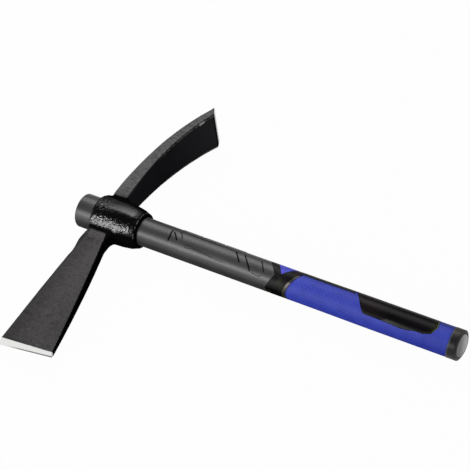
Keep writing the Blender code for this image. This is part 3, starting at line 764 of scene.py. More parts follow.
    def material(self) -> Material:
        """Builds the finish's material."""
        spot = HeadSpot(self)
        graph, x, y = spot.graph, spot.x, spot.y
        ground = self._ground(spot)
        fine = graph.noise(spot.place, *self.fine_grain)
        steel = self._steel(spot)
        (fine_rough, rough), (relief, depth) = self.dry_roughness, self.dry_relief
        dull = graph.shader(
            Base_Color=graph.blend(ground, self._paint(spot), steel),
            Metallic=ground * self.steel_metal,
            Roughness=(fine * fine_rough + rough) * (1.0 - ground) + ground * self.steel_roughness,
            # Painted light: the ground bevels glow with part of their own colour.
            Emission_Color=graph.blend(ground * self.painted_glow, (0.0, 0.0, 0.0), steel),
            Emission_Strength=1.0,
            Specular_IOR_Level=0.0,
            Normal=graph.bump(fine * relief * (1.0 - ground), depth),
        )
        fine_rough, rough = self.wet_roughness
        wet = graph.shader(
            Base_Color=self.eye_colour,
            Roughness=fine * fine_rough + rough + y.part(*self.wet_back),
            Specular_IOR_Level=self.wet_level,
            Normal=graph.bump(fine, self.wet_relief),
        )
        front_gloss = inside((spot.ahead, spot.beside, y), self.front_gloss) * (1.0 - ground)
        at_mouth = x.ramp(self.mouth + self.mouth_fade, self.mouth)
        eye = spot.radius.ramp(self.eye_radius, self.eye_radius - self.eye_fade)
        return graph.mixed(front_gloss.most(eye * self._eye_gloss(spot) * at_mouth), dull, wet)

    def _eye_gloss(self, spot: HeadSpot) -> Signal:
        """Returns where the eye shines: two bands along it, with a dull gap in the nearer one and dust on top."""
        x, y, z = spot.x, spot.y, spot.z
        front = inside((y, x), self.eye_front)
        dents = spot.graph.patches(spot.place, *self.dent_patches)
        gap = self.polish(y, z, *self.gap) * (self.gap_share[0] - front * dents * self.gap_share[1])
        near = self.polish(y, z, *self.near_gloss) * (1.0 - gap) * (1.0 - front * (1.0 - dents) * self.dent_share)
        dusty = y.ramp(*self.dusty_top[0]) * (self.dusty_share[0] - x.ramp(*self.dusty_top[1]) * self.dusty_share[1])
        return near.most(self.polish(y, z, *self.far_gloss)) * (1.0 - dusty)

    def _ground(self, spot: HeadSpot) -> Signal:
        """Returns 1 on the ground bevels, whose border the paint crosses unevenly."""
        axe_fade, adze_fade, side_fade = self.bevel_fades
        past_axe = line_at(self.axe_line, spot.x) - spot.y + spot.wander * self.bevel_wander[0]
        (x1, y1), (x2, y2) = self.adze_bevel
        length = math.hypot(x2 - x1, y2 - y1)
        across = (spot.x - x1) * ((y2 - y1) / length) - (spot.y - y1) * ((x2 - x1) / length)
        past_adze = (across + spot.wander * self.bevel_wander[1]).ramp(*adze_fade)
        past_adze = past_adze * spot.y.ramp(self.adze_ground - self.adze_ground_fade,
                                            self.adze_ground + self.adze_ground_fade)
        return past_axe.ramp(*axe_fade).most(past_adze * spot.beside.ramp(*side_fade))

    def _cheek(self, spot: HeadSpot) -> Signal:
        """Returns 1 on the axe's broad cheeks, up to their rear border."""
        most, middle, half = self.axe_bow
        off = (spot.y - middle) * (1.0 / half)
        bow = (1.0 - off * off).most(0.0) * most
        past = spot.x - line_at(self.axe_back, spot.y) - bow + spot.wander
        return past.ramp(*self.cheek_fade) * spot.y.ramp(*self.on_axe)

    def _cheek_tone(self, spot: HeadSpot) -> Signal:
        """Returns the tone of the dust on the axe's cheeks: mottled and darker along the front, with a paler patch at
        the root that is painted sheen.
        """
        graph, x = spot.graph, spot.x
        size, detail, shift = self.cheek_shift
        y = spot.y + (graph.noise(spot.place, size, detail) - 0.5) * shift
        mottle = graph.patches(spot.place, *self.mottle)
        grain = graph.noise(spot.place, *self.cheek_grain)
        mottled, grainy, plain = self.cheek_tone
        tone = mottle * mottled + (grain - 0.5) * grainy + plain
        for signal, shade in ((y, self.tip_shade), (x, self.front_shade), (x, self.border_shade)):
            tone = tone * (1.0 - signal.part(*shade))
        above = y - line_at(self.axe_line, x)
        low, high, share = self.bevel_shade
        tone = tone * (1.0 - above.ramp(low, high) * x.ramp(*self.bevel_shade_run) * share)
        # Painted sheen: a paler, grainier patch near the root stands in for the gloss there.
        patch, arc = inside((y, y), self.patch_fades), inside((y, y), self.arc_fades)
        pale, grainy = self.patch_sheen_tone
        return tone * (patch * pale + 1.0 + patch * (grain - 0.5) * grainy) * (1.0 - arc * self.arc_shade)

    def _paint(self, spot: HeadSpot) -> Signal:
        """Returns the paint's colour: black, thin and dusty on the axe's cheeks and the adze's narrow sides, with
        painted shade on the adze's rear face, painted glints at the axe's root and a painted highlight round the eye's
        mouth.
        """
        graph, place, x, y, z = spot.graph, spot.place, spot.x, spot.y, spot.z
        behind, ahead, beside = spot.behind, spot.ahead, spot.beside
        on_adze = y.ramp(*self.on_adze)
        clear = spot.radius.ramp(*self.clear_of_eye)
        cheek = self._cheek(spot) * clear
        black = graph.blend(y.ramp(*self.adze_tone_run), self.adze_root_colour, self.adze_tip_colour)
        # Painted shade: the adze's rear face is painted near black, darker than its front.
        rear = on_adze * behind.ramp(*self.rear_shade_fades[0]) * clear * y.ramp(*self.rear_shade_fades[1])
        black = graph.blend(rear, self.rear_shade_colour, black)
        paint = graph.blend(cheek * self._cheek_tone(spot), black, self.dry_colour)

        side = (beside + spot.wander * self.side_wander).ramp(*self.side_fades[0]) * behind.ramp(*self.side_fades[1])
        side = side * clear * on_adze * (1.0 - ahead.part(*self.side_front))
        grain = graph.noise(place, *self.side_grain, stretch=self.side_stretch)
        paint = graph.blend(side * ((grain - 0.5) * self.side_tone[0] + self.side_tone[1]), paint, self.side_colour)

        # Near the root the specks are painted glints; elsewhere they are specks in the paint.
        root = spot.radius.ramp(*self.root_fade) * y.ramp(*self.on_axe)
        specks = graph.patches(place, *self.speck_patches)
        specks = specks * (root * self.speck_and_glint_share[0] + self.speck_and_glint_share[1])
        marks = graph.patches(place, *self.mark_patches)
        marks = marks * y.ramp(*self.mark_fades[0]) * x.ramp(*self.mark_fades[1]) * self.mark_share
        paint = graph.blend(cheek * marks.most(specks), paint, self.speck_colour)

        worn = inside((beside, beside, behind, y), self.worn_fades)
        worn = worn * graph.patches(place, *self.worn_patches)
        paint = graph.blend(worn, paint, self.worn_colour)
        # Painted highlight along the rim of the eye's mouth.
        mouth_glint = inside((x, x, z), self.mouth_line) * graph.patches(place, *self.mouth_patches)
        paint = graph.blend(mouth_glint * (1.0 - clear) * self.mouth_glint_share, paint, self.speck_colour)
        chip = inside((beside, beside, z, behind), self.chip_fades)
        first, last, fade = self.chip_run
        chip = chip * y.ramp(first, first + fade) * y.ramp(last, last - fade)
        return graph.blend(chip, paint, self.chip_colour)

    def _steel(self, spot: HeadSpot) -> Signal:
        """Returns the ground steel's colour, with strokes across the edge and a dark line along the axe's."""
        graph, x, y = spot.graph, spot.x, spot.y
        strokes = graph.noise(spot.place, *self.stroke_grain, stretch=self.stroke_stretch)
        left = y - line_at(self.axe_edge, x)
        (x1, y1), (x2, y2) = self.axe_edge
        (_, top1), (_, top2) = self.axe_line
        share = left / ((x - x1) * ((top2 - y2 - top1 + y1) / (x2 - x1)) + (top1 - y1))
        on_axe = y.ramp(*self.on_axe)
        broad, narrow = (share.part(*shade) for shade in self.steel_shades)
        shade = ((broad + narrow) * on_axe).most(y.part(*self.adze_shade))
        metal = graph.blend(shade, self.steel, self.dull_steel)
        metal = graph.blend(strokes * self.stroke_share, metal, self.dull_steel)
        line = inside((left, x), self.edge_fades) * on_axe * self.edge_share
        return graph.blend(line, metal, self.speck_colour)


class HeadSpot:
    """The signals that say where on the head a place lies."""

    def __init__(self, paint: ForgedPaint) -> None:
        """Starts the head's graph with its places.

        Args:
            paint: the finish that knows the head's lines.
        """
        self.graph = Graph("forged_paint")
        self.place = self.graph.place()
        self.x, self.y, self.z = self.graph.parts(self.place)
        self.radius = (self.y * self.y + self.z * self.z).root()
        self.wander = (self.graph.noise(self.place, *paint.wander_grain) - 0.5) * paint.wander
        rear, front = (self.x - (((self.y * c3 + c2) * self.y + c1) * self.y + c0)
                       for c0, c1, c2, c3 in (paint.adze_rear, paint.adze_front))
        self.behind, self.ahead = rear, front * -1.0
        share = (self.y - paint.adze_run[0]) * (1.0 / (paint.adze_run[1] - paint.adze_run[0]))
        bow = share * (1.0 - share) * (4.0 * paint.adze_bow)
        narrow, wide = paint.adze_halves
        self.beside = self.z.size() - share * (wide - narrow) - narrow - bow


@dataclass(frozen=True)
class SatinPolymer(Finish):
    """Grey fibre-filled moulding with a fine spark-eroded grain, and painted shade in its grooves."""

    slot: str = "jacket_grey"
    colour: Triple = (0.036, 0.034, 0.036)
    pale: float = 1.35
    sunk_shade_colour: Triple = (0.002, 0.002, 0.002)
    sunk_depths: Pair = (0.00003, 0.00015)
    sunk_start: Pair = (0.070, 0.071)
    sunk_shares: Pair = (0.95, 0.85)
    grain: Triple = (0.0004, 2.0, 0.6)
    relief: float = 0.00004
    drift_patches: Grained = ((0.018, 2.0), (0.35, 0.7))
    drift_share: float = 0.6
    roughness: float = 0.42
    uneven: float = 0.12
    level: float = 0.49
    knob_gap: Triple = (115.0, 6.0, 14.0)
    knob_run: Triple = (0.022, 0.018, 0.45)
    face_run: Triple = (0.0003, 0.0001, 0.5)

    def material(self) -> Material:
        """Builds the finish's material."""
        graph = Graph("satin_polymer")
        place = graph.place()
        grain = graph.noise(place, *self.grain)
        x, y, z = graph.parts(place)
        # Painted shade: below the skin, in the grooves, the colour turns near black.
        low, high = (HANDLE.shaft_radius - depth for depth in self.sunk_depths)
        sunk = (y * y + z * z).root().ramp(low, high) * x.ramp(*self.sunk_start)
        drift = graph.patches(place, *self.drift_patches) * self.drift_share
        skin = graph.blend(drift, self.colour, times(self.colour, self.pale))
        low, high, share = self.knob_run
        knob = self.polish(y, z, *self.knob_gap) * x.ramp(low, high) * share
        shine = self.polish(y, z) * (1.0 - sunk * self.sunk_shares[1]) * (1.0 - knob)
        return graph.polished(
            shine.most(x.part(*self.face_run)),
            self.level,
            Base_Color=graph.blend(sunk * self.sunk_shares[0], skin, self.sunk_shade_colour),
            Roughness=(grain - 0.5) * self.uneven + self.roughness,
            Normal=graph.bump(grain, self.relief),
        )


@dataclass(frozen=True)
class SoftRubber(Finish):
    """Soft-touch rubber with a fine grain and, on the blue sleeve, an area of small raised dots, painted lighter on
    their tops and darker between them.
    """

    slot: str = "grip_blue"
    colour: Triple = (0.046, 0.066, 0.460)
    shade: Triple = (0.038, 0.054, 0.400)
    roughness: float = 0.55
    level: float = 0.18
    dots: Pair | None = None
    tints: tuple[Triple, ...] = ()
    grain: Triple = (0.0005, 3.0, 0.6)
    relief: Pair = (0.4, 0.00012)
    uneven: float = 0.15
    drift_patches: Grained = ((0.012, 2.0), (0.3, 0.7))
    pitch: float = 0.0042
    dot_fades: Pair = (0.004, 0.020)
    dot_turns: Pair = (84.0, 112.0)
    dot_pit_shade: tuple[float, ...] = (0.9, 0.1, 0.22, 0.72)
    dot_top_highlight: tuple[float, ...] = (0.5, 0.9, 0.30, 1.5)
    flank_run: Triple = (79.0, 71.0, 0.45)
    flank_colour: Triple = (0.012, 0.015, 0.06)
    border_shade_run: Triple = (0.0022, 0.0002, 0.65)
    border_shade_colour: Triple = (0.020, 0.024, 0.110)
    tint_patches: tuple[tuple, ...] = (((0.009, 1.0), (0.52, 0.66)), ((0.008, 1.0), (0.54, 0.68), (1.0, -1.0, 1.0)))

    def _dotted(self, graph: Graph, place: Signal, colour: Signal) -> tuple[Signal, Signal]:
        """Adds the dots with painted highlight and shade, the painted shade down the side of the back strip and the
        painted shade of the dark border behind the pale line.

        Args:
            graph: the material's graph.
            place: the place to read.
            colour: the plain sleeve's colour.

        Returns:
            The dots' height and the new colour.
        """
        x, y, z = graph.parts(place)
        angle = z.turn_of(y)
        arc = angle * HANDLE.grip_radius
        wave = math.pi / self.pitch
        rows = ((x + arc) * wave).sine().size() * ((x - arc) * wave).sine().size()
        turned = angle.size() * math.degrees(1.0)
        (start, end), (before, after) = self.dots, self.dot_fades
        area = x.ramp(start - before, start) * x.ramp(end + after, end) * turned.ramp(*self.dot_turns)
        # Painted highlight on the dots' tops and painted shade in the pits between them.
        for (low, high, share, factor), base in ((self.dot_pit_shade, self.shade), (self.dot_top_highlight, self.colour)):
            colour = graph.blend(rows.ramp(low, high) * area * share, colour, times(base, factor))
        colour = graph.blend(turned.part(*self.flank_run), colour, self.flank_colour)
        # Painted shade: the sleeve darkens over the 2 mm behind the pale line.
        sweep = ((math.pi - angle.size()) * (1.0 / math.radians(180.0 - GRIP.blue_side_angle))).least(1.0)
        front = sweep ** GRIP.sweep_power * GRIP.blue_start_rise - sweep * (GRIP.accent_belly - GRIP.accent_side)
        low, high, share = self.border_shade_run
        start = GRIP.blue_start_belly + GRIP.accent_belly
        return rows * area, graph.blend((x - front).ramp(start + low, start + high) * share, colour, self.border_shade_colour)

    def material(self) -> Material:
        """Builds the finish's material."""
        graph = Graph(f"soft_rubber_{self.slot}")
        place = graph.place()
        _, y, z = graph.parts(place)
        grain = graph.noise(place, *self.grain)
        height = grain * self.relief[0]
        drift = graph.patches(place, *self.drift_patches)
        colour = graph.blend(drift, self.shade, self.colour)
        if self.dots:
            dots, colour = self._dotted(graph, place, colour)
            height = height + dots
        for tint, patches in zip(self.tints, self.tint_patches):
            colour = graph.blend(graph.patches(place, *patches), colour, tint)
        return graph.polished(
            self.polish(y, z),
            self.level,
            Base_Color=colour,
            Roughness=(grain - 0.5) * self.uneven + self.roughness,
            Normal=graph.bump(height, self.relief[1]),
        )


@dataclass(frozen=True)
class HardPlastic(Finish):
    """A smooth moulded plastic with faint drift in its gloss."""

    slot: str = "badge_gloss"
    colour: Triple = (0.010, 0.009, 0.010)
    roughness: float = 0.15
    level: float = 0.5
    even: bool = False
    pale_factor: float = 1.25
    grain: Pair = (0.0008, 2.0)
    relief: float = 0.00001
    drift: Pair = (0.010, 2.0)
    uneven: float = 0.08

    def tone(self, graph: Graph, place: Signal) -> Signal:
        """Returns the colour at a place."""
        return graph.blend(graph.noise(place, *self.drift), self.colour, times(self.colour, self.pale_factor))

    def material(self) -> Material:
        """Builds the finish's material."""
        graph = Graph(f"hard_plastic_{self.slot}")
        place = graph.place()
        _, y, z = graph.parts(place)
        looks = {
            "Base_Color": self.tone(graph, place),
            "Roughness": (graph.noise(place, *self.drift) - 0.5) * self.uneven + self.roughness,
            "Normal": graph.bump(graph.noise(place, *self.grain), self.relief),
        }
        if self.even:
            return graph.ends_in(graph.shader(Specular_IOR_Level=self.level, **looks))
        return graph.polished(self.polish(y, z), self.level, **looks)


@dataclass(frozen=True)
class AccentPlastic(HardPlastic):
    """The line between the band and the sleeve, painted with the light: a pale highlight on the belly's shoulder, a
    fainter olive one round the side, and shade between them and underneath.
    """

    slot: str = "accent_grey"
    roughness: float = 0.45
    level: float = 0.15
    # Colours by angle round the handle: painted highlights where the lamps' bands fall and painted shade between them
    # and underneath.
    course: Course = (
        (80.0, (0.050, 0.060, 0.038)), (94.0, (0.100, 0.110, 0.080)), (110.0, (0.036, 0.040, 0.028)),
        (122.0, (0.040, 0.040, 0.036)), (129.0, (0.240, 0.205, 0.205)), (140.0, (0.210, 0.185, 0.185)),
        (150.0, (0.100, 0.094, 0.092)), (160.0, (0.050, 0.050, 0.040)), (180.0, (0.020, 0.020, 0.016)),
    )

    def tone(self, graph: Graph, place: Signal) -> Signal:
        """Returns the colour at a place."""
        _, y, z = graph.parts(place)
        return graph.tones(z.turn_of(y).size() * math.degrees(1.0), self.course)


@dataclass(frozen=True)
class RunPlastic(HardPlastic):
    """A plastic whose colour changes along the handle, a little unevenly."""

    course: Course = ()
    shift_grain: Pair = (0.004, 2.0)
    shift: float = 0.003

    def tone(self, graph: Graph, place: Signal) -> Signal:
        """Returns the colour at a place."""
        shift = (graph.noise(place, *self.shift_grain) - 0.5) * self.shift
        return graph.tones(graph.parts(place)[0] + shift, self.course)


@dataclass(frozen=True)
class DiscPlastic(HardPlastic):
    """The disc's plastic, with a painted light gradient that makes it paler towards the adze's side, along a streaky
    line.
    """

    slot: str = "disc_grey"
    colour: Triple = (0.10, 0.10, 0.10)
    roughness: float = 0.4
    even: bool = True
    pale: Triple = (0.76, 0.76, 0.74)
    streak_grain: Pair = (0.0030, 2.0)
    streak_stretch: Triple = (1.0, 1.0, 0.35)
    streak: float = 0.006
    slope: Pair = (0.95, 0.25)
    painted_light_run: Pair = (-0.006, 0.008)

    def tone(self, graph: Graph, place: Signal) -> Signal:
        """Returns the colour at a place."""
        _, y, z = graph.parts(place)
        streaks = graph.noise(place, *self.streak_grain, stretch=self.streak_stretch)
        # Painted light: the flat end is painted paler on one side, as if lit from there.
        side = y * self.slope[0] - z * self.slope[1] + (streaks - 0.5) * self.streak
        return graph.blend(side.ramp(*self.painted_light_run), self.colour, self.pale)


@dataclass(frozen=True)
class CapPlastic(HardPlastic):
    """The cap's plastic, with a paler line along its slanted joint and a painted highlight on the badge's side."""

    slot: str = "cap_black"
    colour: Triple = (0.011, 0.011, 0.011)
    roughness: float = 0.42
    level: float = 0.16
    even: bool = True
    line_colour: Triple = (0.085, 0.095, 0.125)
    line_run: Triple = (0.0013, 0.0009, 0.8)
    painted_highlight_colour: Triple = (0.060, 0.052, 0.044)
    painted_highlight_turns: Pairs = ((60.0, 76.0), (98.0, 84.0))

    def tone(self, graph: Graph, place: Signal) -> Signal:
        """Returns the colour at a place."""
        x, y, z = graph.parts(place)
        turn = math.radians(HANDLE.cap_skew_angle)
        skew = (y * math.cos(turn) + z * math.sin(turn)) / (y * y + z * z).root() * HANDLE.cap_skew
        behind = x - skew - (HANDLE.length - HANDLE.cap_length)
        angle = z.turn_of(y) * math.degrees(1.0)
        # Painted highlight: a brownish band round the cap on the badge's side.
        dusty = inside((angle, angle), self.painted_highlight_turns)
        plain = graph.blend(dusty, super().tone(graph, place), self.painted_highlight_colour)
        return graph.blend(behind.part(*self.line_run), plain, self.line_colour)


# The head


@dataclass(frozen=True)
class ForgedHead:
    """The eye with both blades grown out of its wall, as one forging."""

    radius: float = 0.0213
    waist: float = 0.0205
    waist_station: float = 0.0325
    shoulder: float = 0.0191
    shoulder_station: float = 0.0425
    rear: float = 0.0174
    front_rounding: float = 0.0034
    mouth_rounding: float = 0.0026
    rounding_steps: tuple[int, int] = (8, 7)
    eye_rings: int = 110
    eye_steps: int = 330
    hole_steps: int = 180
    hole_beyond: float = 0.1
    sharp: float = 38.0
    axe_reach_front: float = 0.1770
    axe_reach_rear: float = 0.1694
    axe_setback: float = 0.0067
    axe_front_fill: Pairs = (
        (0.0, 0.0002), (0.044, 0.0006), (0.059, 0.0017), (0.094, 0.0014), (0.120, 0.0010), (0.150, 0.0005),
        (0.177, 0.0004),
    )
    axe_rear_fill: Triple = (0.0019, 0.108, 0.085)
    axe_root_setback: float = 0.0030
    axe_root_width: float = 0.0235
    axe_edge_length: float = 0.0525
    axe_neck_thickness: float = 0.0126
    axe_tip_thickness: float = 0.0054
    axe_thinning: float = 1.7
    axe_neck_end: float = 0.0360
    axe_neck_blend: float = 0.0200
    axe_cheek_fillet: float = 0.0120
    axe_rear_fillet: float = 0.0090
    axe_front_fillet: float = 0.0015
    axe_bevel_front: float = 0.0064
    axe_bevel_rear: float = 0.0036
    axe_root_rounding: float = 0.0060
    axe_steps: tuple[int, int] = (22, 6)
    adze_reach: float = 0.1536
    adze_root_setback: float = 0.0098
    adze_droop: float = 0.0237
    adze_root_lean: float = 2.5
    adze_tip_lean: float = 24.0
    adze_root_thickness: float = 0.0158
    adze_tip_thickness: float = 0.0075
    adze_root_width: float = 0.0210
    adze_edge_length: float = 0.0424
    adze_bow: float = 0.0013
    adze_fill: Pairs = (
        (0.0, 0.0), (0.10, 0.0007), (0.20, 0.0013), (0.38, 0.0018), (0.57, 0.0020), (0.76, 0.0015), (0.94, 0.0009),
        (1.0, 0.0005),
    )
    adze_rear_fill: Pairs = ((0.0, 0.0013), (0.20, 0.0006), (0.40, 0.0))
    adze_rear_fillet: float = 0.0030
    adze_front_fillet: float = 0.0012
    adze_cheek_fillet: float = 0.0040
    adze_bevel_run: float = 0.0062
    adze_root_rounding: float = 0.0030
    adze_steps: tuple[int, int] = (8, 20)
    adze_sinks: tuple[float, ...] = (1.0, 0.75, 0.5, 0.25)
    adze_root_slices: int = 15
    blade_rounding: float = 0.0010
    edge_land: float = 0.0005
    bevel_shares: Triple = (0.33, 0.66, 1.0)
    root_sink: float = 0.0030
    root_crease: float = 0.0004
    root_blend: float = 0.0150
    root_rounding_run: float = 0.0075
    root_step: float = 0.0008
    section_step: float = 0.0016
    weld: float = 0.00002
    soft_reach: float = 0.0016
    soft_start: float = 0.006
    soft_ends: Pair = (0.001, 0.003)
    soft_rounds: int = 4
    hole_margin: float = 0.0009
    lump_scale: float = 90.0
    lump: float = 0.00022
    lump_far: float = 0.35
    lump_fade: Pair = (0.022, 0.020)
    pits: Pairs = ((680.0, 0.00025), (1250.0, 0.00015))
    pit_bias: float = 0.00012
    pit_fade: Pair = (0.0010, 0.0030)
    pit_turn: Pair = (98.0, 16.0)
    pit_calm: Triple = (0.006, 0.018, 0.028)
    pit_upper: Pair = (1.05, 0.15)
    pit_lower: Pair = (1.0, 0.60)
    ground_margins: Triple = (0.002, 0.012, 0.010)

    @property
    def narrowing(self) -> tuple[Pair, Pair]:
        """The eye's outline behind its front, as distances from there and radii."""
        return (self.waist_station, self.waist), (self.shoulder_station, self.shoulder)

    def wall(self, station: float) -> float:
        """Outside radius of the eye where the blades grow out of it."""
        return along(((0.0, self.radius), *self.narrowing), station - HANDLE.eye_front)

    def eye_profile(self) -> Outline:
        """Returns the eye's outline, from pole to pole: a rounded front, a slow taper and a rounded mouth."""
        front, rear = HANDLE.eye_front, HANDLE.eye_rear
        start, end = self.front_rounding, HANDLE.eye_length - self.mouth_rounding
        knots = ((start, self.radius), *self.narrowing, (end, self.rear))
        places = [lerp(start, end, step / self.eye_rings) for step in range(1, self.eye_rings + 1)]
        nose, mouth = map(quarter_round, (self.front_rounding, self.mouth_rounding), self.rounding_steps)
        return [
            (front, 0.0),
            *((front + run, self.radius - drop) for run, drop in nose),
            *((front + place, along(knots, place)) for place in places),
            *((rear - drop, self.rear - run) for run, drop in mouth[1:]),
            (rear, 0.0),
        ]

    def root_half(self, distance: float, half: float, fillet: float) -> float:
        """Follows a blade's cheek near the eye, where a fillet swings from it onto the round wall.

        Args:
            distance: how far out of the eye's wall the slice lies.
            half: half the blade's width further out.
            fillet: radius of the fillet.

        Returns:
            Half the blade's width in that slice.
        """
        wall = self.waist - self.root_crease
        reach = wall + distance
        centre = wall + fillet
        lean = math.asin(min((half + fillet) / centre, 1.0))
        if reach >= math.hypot(centre * math.cos(lean), half):
            return half
        if distance <= 0.0:
            return reach * math.sin(lean)
        cosine = (centre**2 + reach**2 - fillet**2) / (2 * centre * reach)
        return reach * math.sin(lean - math.acos(min(cosine, 1.0)))

    def corner(self, distance: float, rounding: float) -> float:
        """Returns the rounding of a blade's long edges, which grows where they run out into the eye."""
        share = min(max(1.0 - distance / self.root_rounding_run, 0.0), 1.0)
        return self.blade_rounding + rounding * share * share

    def lift(self, distance: float, station: float, up: float) -> float:
        """Lets a slice follow the round, tapered eye near the blade's root.

        Args:
            distance: how far out of the eye's wall the slice's middle lies.
            station: place of the point along the handle.
            up: how far the point lies off the head's middle plane.

        Returns:
            How much further out the point lies than the slice's middle.
        """
        wall = self.wall(station)
        reach = wall + distance
        near = 1.0 - smooth_step(distance / self.root_blend)
        return (wall - self.waist) * near - (reach - math.sqrt(reach * reach - up * up)) * near

    @staticmethod
    def fillet_rise(distance: float, radius: float) -> float:
        """Returns how far a fillet has left a wall, at this distance from the face that it runs into."""
        short = min(max(radius - distance, 0.0), radius)
        return radius - math.sqrt(radius * radius - short * short)

    @staticmethod
    def slice_outline(width: float, height: float, corner: float, steps: tuple[int, int]) -> Outline:
        """Draws a rectangle with rounded corners.

        Args:
            width: its size across.
            height: its size upwards.
            corner: radius of its corners.
            steps: points along its wide and its high sides.

        Returns:
            Its points, from the middle of the right side round.
        """
        reach = min(corner, CORNER_LIMIT * width, CORNER_LIMIT * height)
        arcs = []
        for quarter, (across, up) in enumerate(((1, 1), (-1, 1), (-1, -1), (1, -1))):
            turns = [math.radians(90.0 * (quarter + step / CORNER_STEPS)) for step in range(CORNER_STEPS + 1)]
            arcs.append([(across * (width / 2 - reach) + reach * math.cos(turn),
                          up * (height / 2 - reach) + reach * math.sin(turn)) for turn in turns])
        points = []
        for quarter, arc in enumerate(arcs):
            (x1, y1), (x2, y2) = arc[-1], arcs[(quarter + 1) % 4][0]
            count = steps[quarter % 2]
            points += arc + [(lerp(x1, x2, k / count), lerp(y1, y2, k / count)) for k in range(1, count)]
        return points

    def axe_front(self, reach: float) -> float:
        """Station of the axe blade's front side at this distance from the handle's axis."""
        share = smooth_step((reach - self.axe_neck_end) / self.axe_neck_blend)
        side = HANDLE.eye_front + lerp(self.axe_root_setback, self.axe_setback, share)
        fill = along(self.axe_front_fill, reach)
        return side - fill - self.fillet_rise(reach - self.waist, self.axe_front_fillet)

    def axe_rear(self, reach: float) -> float:
        """Station of the axe blade's rear side, which flares in a faintly bowed line."""
        neck = HANDLE.eye_front + self.axe_root_setback + self.axe_root_width
        corner = HANDLE.eye_front + self.axe_setback + self.axe_edge_length
        share = (reach - self.axe_neck_end) / (self.axe_reach_rear - self.axe_neck_end)
        most, middle, half = self.axe_rear_fill
        fill = most * max(1.0 - ((reach - middle) / half) ** 2, 0.0)
        return lerp(neck, corner, max(share, 0.0)) + fill + self.fillet_rise(reach - self.waist, self.axe_rear_fillet)

    def axe_thickness(self, reach: float) -> float:
        """Returns the axe's thickness there, which shrinks towards the edge and swings out into the eye."""
        end = self.axe_reach_front - self.axe_bevel_front
        share = min(max((reach - self.axe_neck_end) / (end - self.axe_neck_end), 0.0), 1.0)
        half = lerp(self.axe_neck_thickness, self.axe_tip_thickness, share**self.axe_thinning) / 2
        return 2 * self.root_half(reach - self.waist, half, self.axe_cheek_fillet)

    def axe_section(self, reaches: Pair, thickness: float, corner: float) -> list[Vector]:
        """Cuts a slice of the axe blade, which may be slanted.

        Args:
            reaches: distances from the handle's axis at its front and its rear side.
            thickness: the blade's thickness there.
            corner: rounding of the long edges.

        Returns:
            The slice's points.
        """
        front = self.axe_front(reaches[0])
        width = self.axe_rear(reaches[1]) - front
        points = []
        for across, up in self.slice_outline(width, thickness, corner, self.axe_steps):
            share = across / width + 0.5
            station = front + width * share
            reach = lerp(*reaches, share)
            points.append(Vector((station, -self.lift(reach - self.waist, station, up) - reach, up)))
        return points

    def axe_sections(self) -> list[list[Vector]]:
        """Returns slices from inside the eye's wall to the ground edge, turning slowly to that edge's slant."""
        start = self.axe_neck_end + self.axe_neck_blend
        ends = (self.axe_reach_front - self.axe_bevel_front, self.axe_reach_rear - self.axe_bevel_rear)
        root = self.waist - self.root_sink
        count = round((start - root) / self.root_step)
        sections = []
        for reach in (lerp(root, start, k / count) for k in range(count + 1)):
            corner = self.corner(reach - self.waist, self.axe_root_rounding)
            sections.append(self.axe_section((reach, reach), self.axe_thickness(reach), corner))
        count = round((ends[0] - start) / self.section_step)
        for k in range(1, count + 1):
            reaches = tuple(lerp(start, end, k / count) for end in ends)
            sections.append(self.axe_section(reaches, self.axe_thickness(reaches[0]), self.blade_rounding))
        for share in self.bevel_shares:
            reaches = lerp(ends[0], self.axe_reach_front, share), lerp(ends[1], self.axe_reach_rear, share)
            sizes = (lerp(size, self.edge_land, share) for size in (self.axe_tip_thickness, self.blade_rounding))
            sections.append(self.axe_section(reaches, *sizes))
        return sections

    @staticmethod
    def axes(lean: float) -> tuple[Vector, Vector]:
        """Returns the adze's way out from the handle, leaning towards the butt, and its way up, towards the knob."""
        sine, cosine = math.sin(math.radians(lean)), math.cos(math.radians(lean))
        return Vector((sine, cosine, 0.0)), Vector((-cosine, sine, 0.0))

    def adze_spine(self, share: float) -> tuple[Vector, float]:
        """Returns the middle of the adze's thickness and its lean, from the root to the start of the bevel."""
        root = Vector((HANDLE.eye_front + self.adze_root_setback, self.waist, 0.0))
        edge = Vector((root.x + self.adze_droop, self.adze_reach, 0.0))
        out, up = self.axes(self.adze_tip_lean)
        tip = edge - out * self.adze_bevel_run - up * self.adze_tip_thickness / 2
        pull = (tip - root).length / 3
        controls = (root, root + self.axes(self.adze_root_lean)[0] * pull, tip - out * pull, tip)
        rest = 1.0 - share
        weights = (rest**3, 3 * rest * rest * share, 3 * rest * share * share, share**3)
        point = sum((control * weight for control, weight in zip(controls, weights)), Vector())
        slopes = [after - before for before, after in zip(controls, controls[1:])]
        slope = slopes[0] * rest * rest + slopes[1] * 2 * rest * share + slopes[2] * share * share
        return point, math.degrees(math.atan2(slope.x, slope.y))

    def adze_section(self, share: float, spine: tuple[Vector, float], size: Pair, corner: float) -> list[Vector]:
        """Cuts a slice of the adze, square to its spine, with its sides sagging round the eye near the root.

        Args:
            share: how far out the slice lies, which sets how much fuller its faces are.
            spine: the middle of its thickness without that, and the lean there.
            size: thickness and width.
            corner: rounding of the long edges.

        Returns:
            The slice's points.
        """
        point, lean = spine
        distance = point.y - self.waist
        front = self.fillet_rise(distance, self.adze_front_fillet) + along(self.adze_fill, share)
        rear = self.fillet_rise(distance, self.adze_rear_fillet) + along(self.adze_rear_fill, share)
        points = []
        for across, up in self.slice_outline(size[0] + front + rear, size[1], corner, self.adze_steps):
            place = point + self.axes(lean)[1] * (across + (front - rear) / 2)
            points.append(place + Vector((0.0, self.lift(distance, place.x, up), up)))
        return points

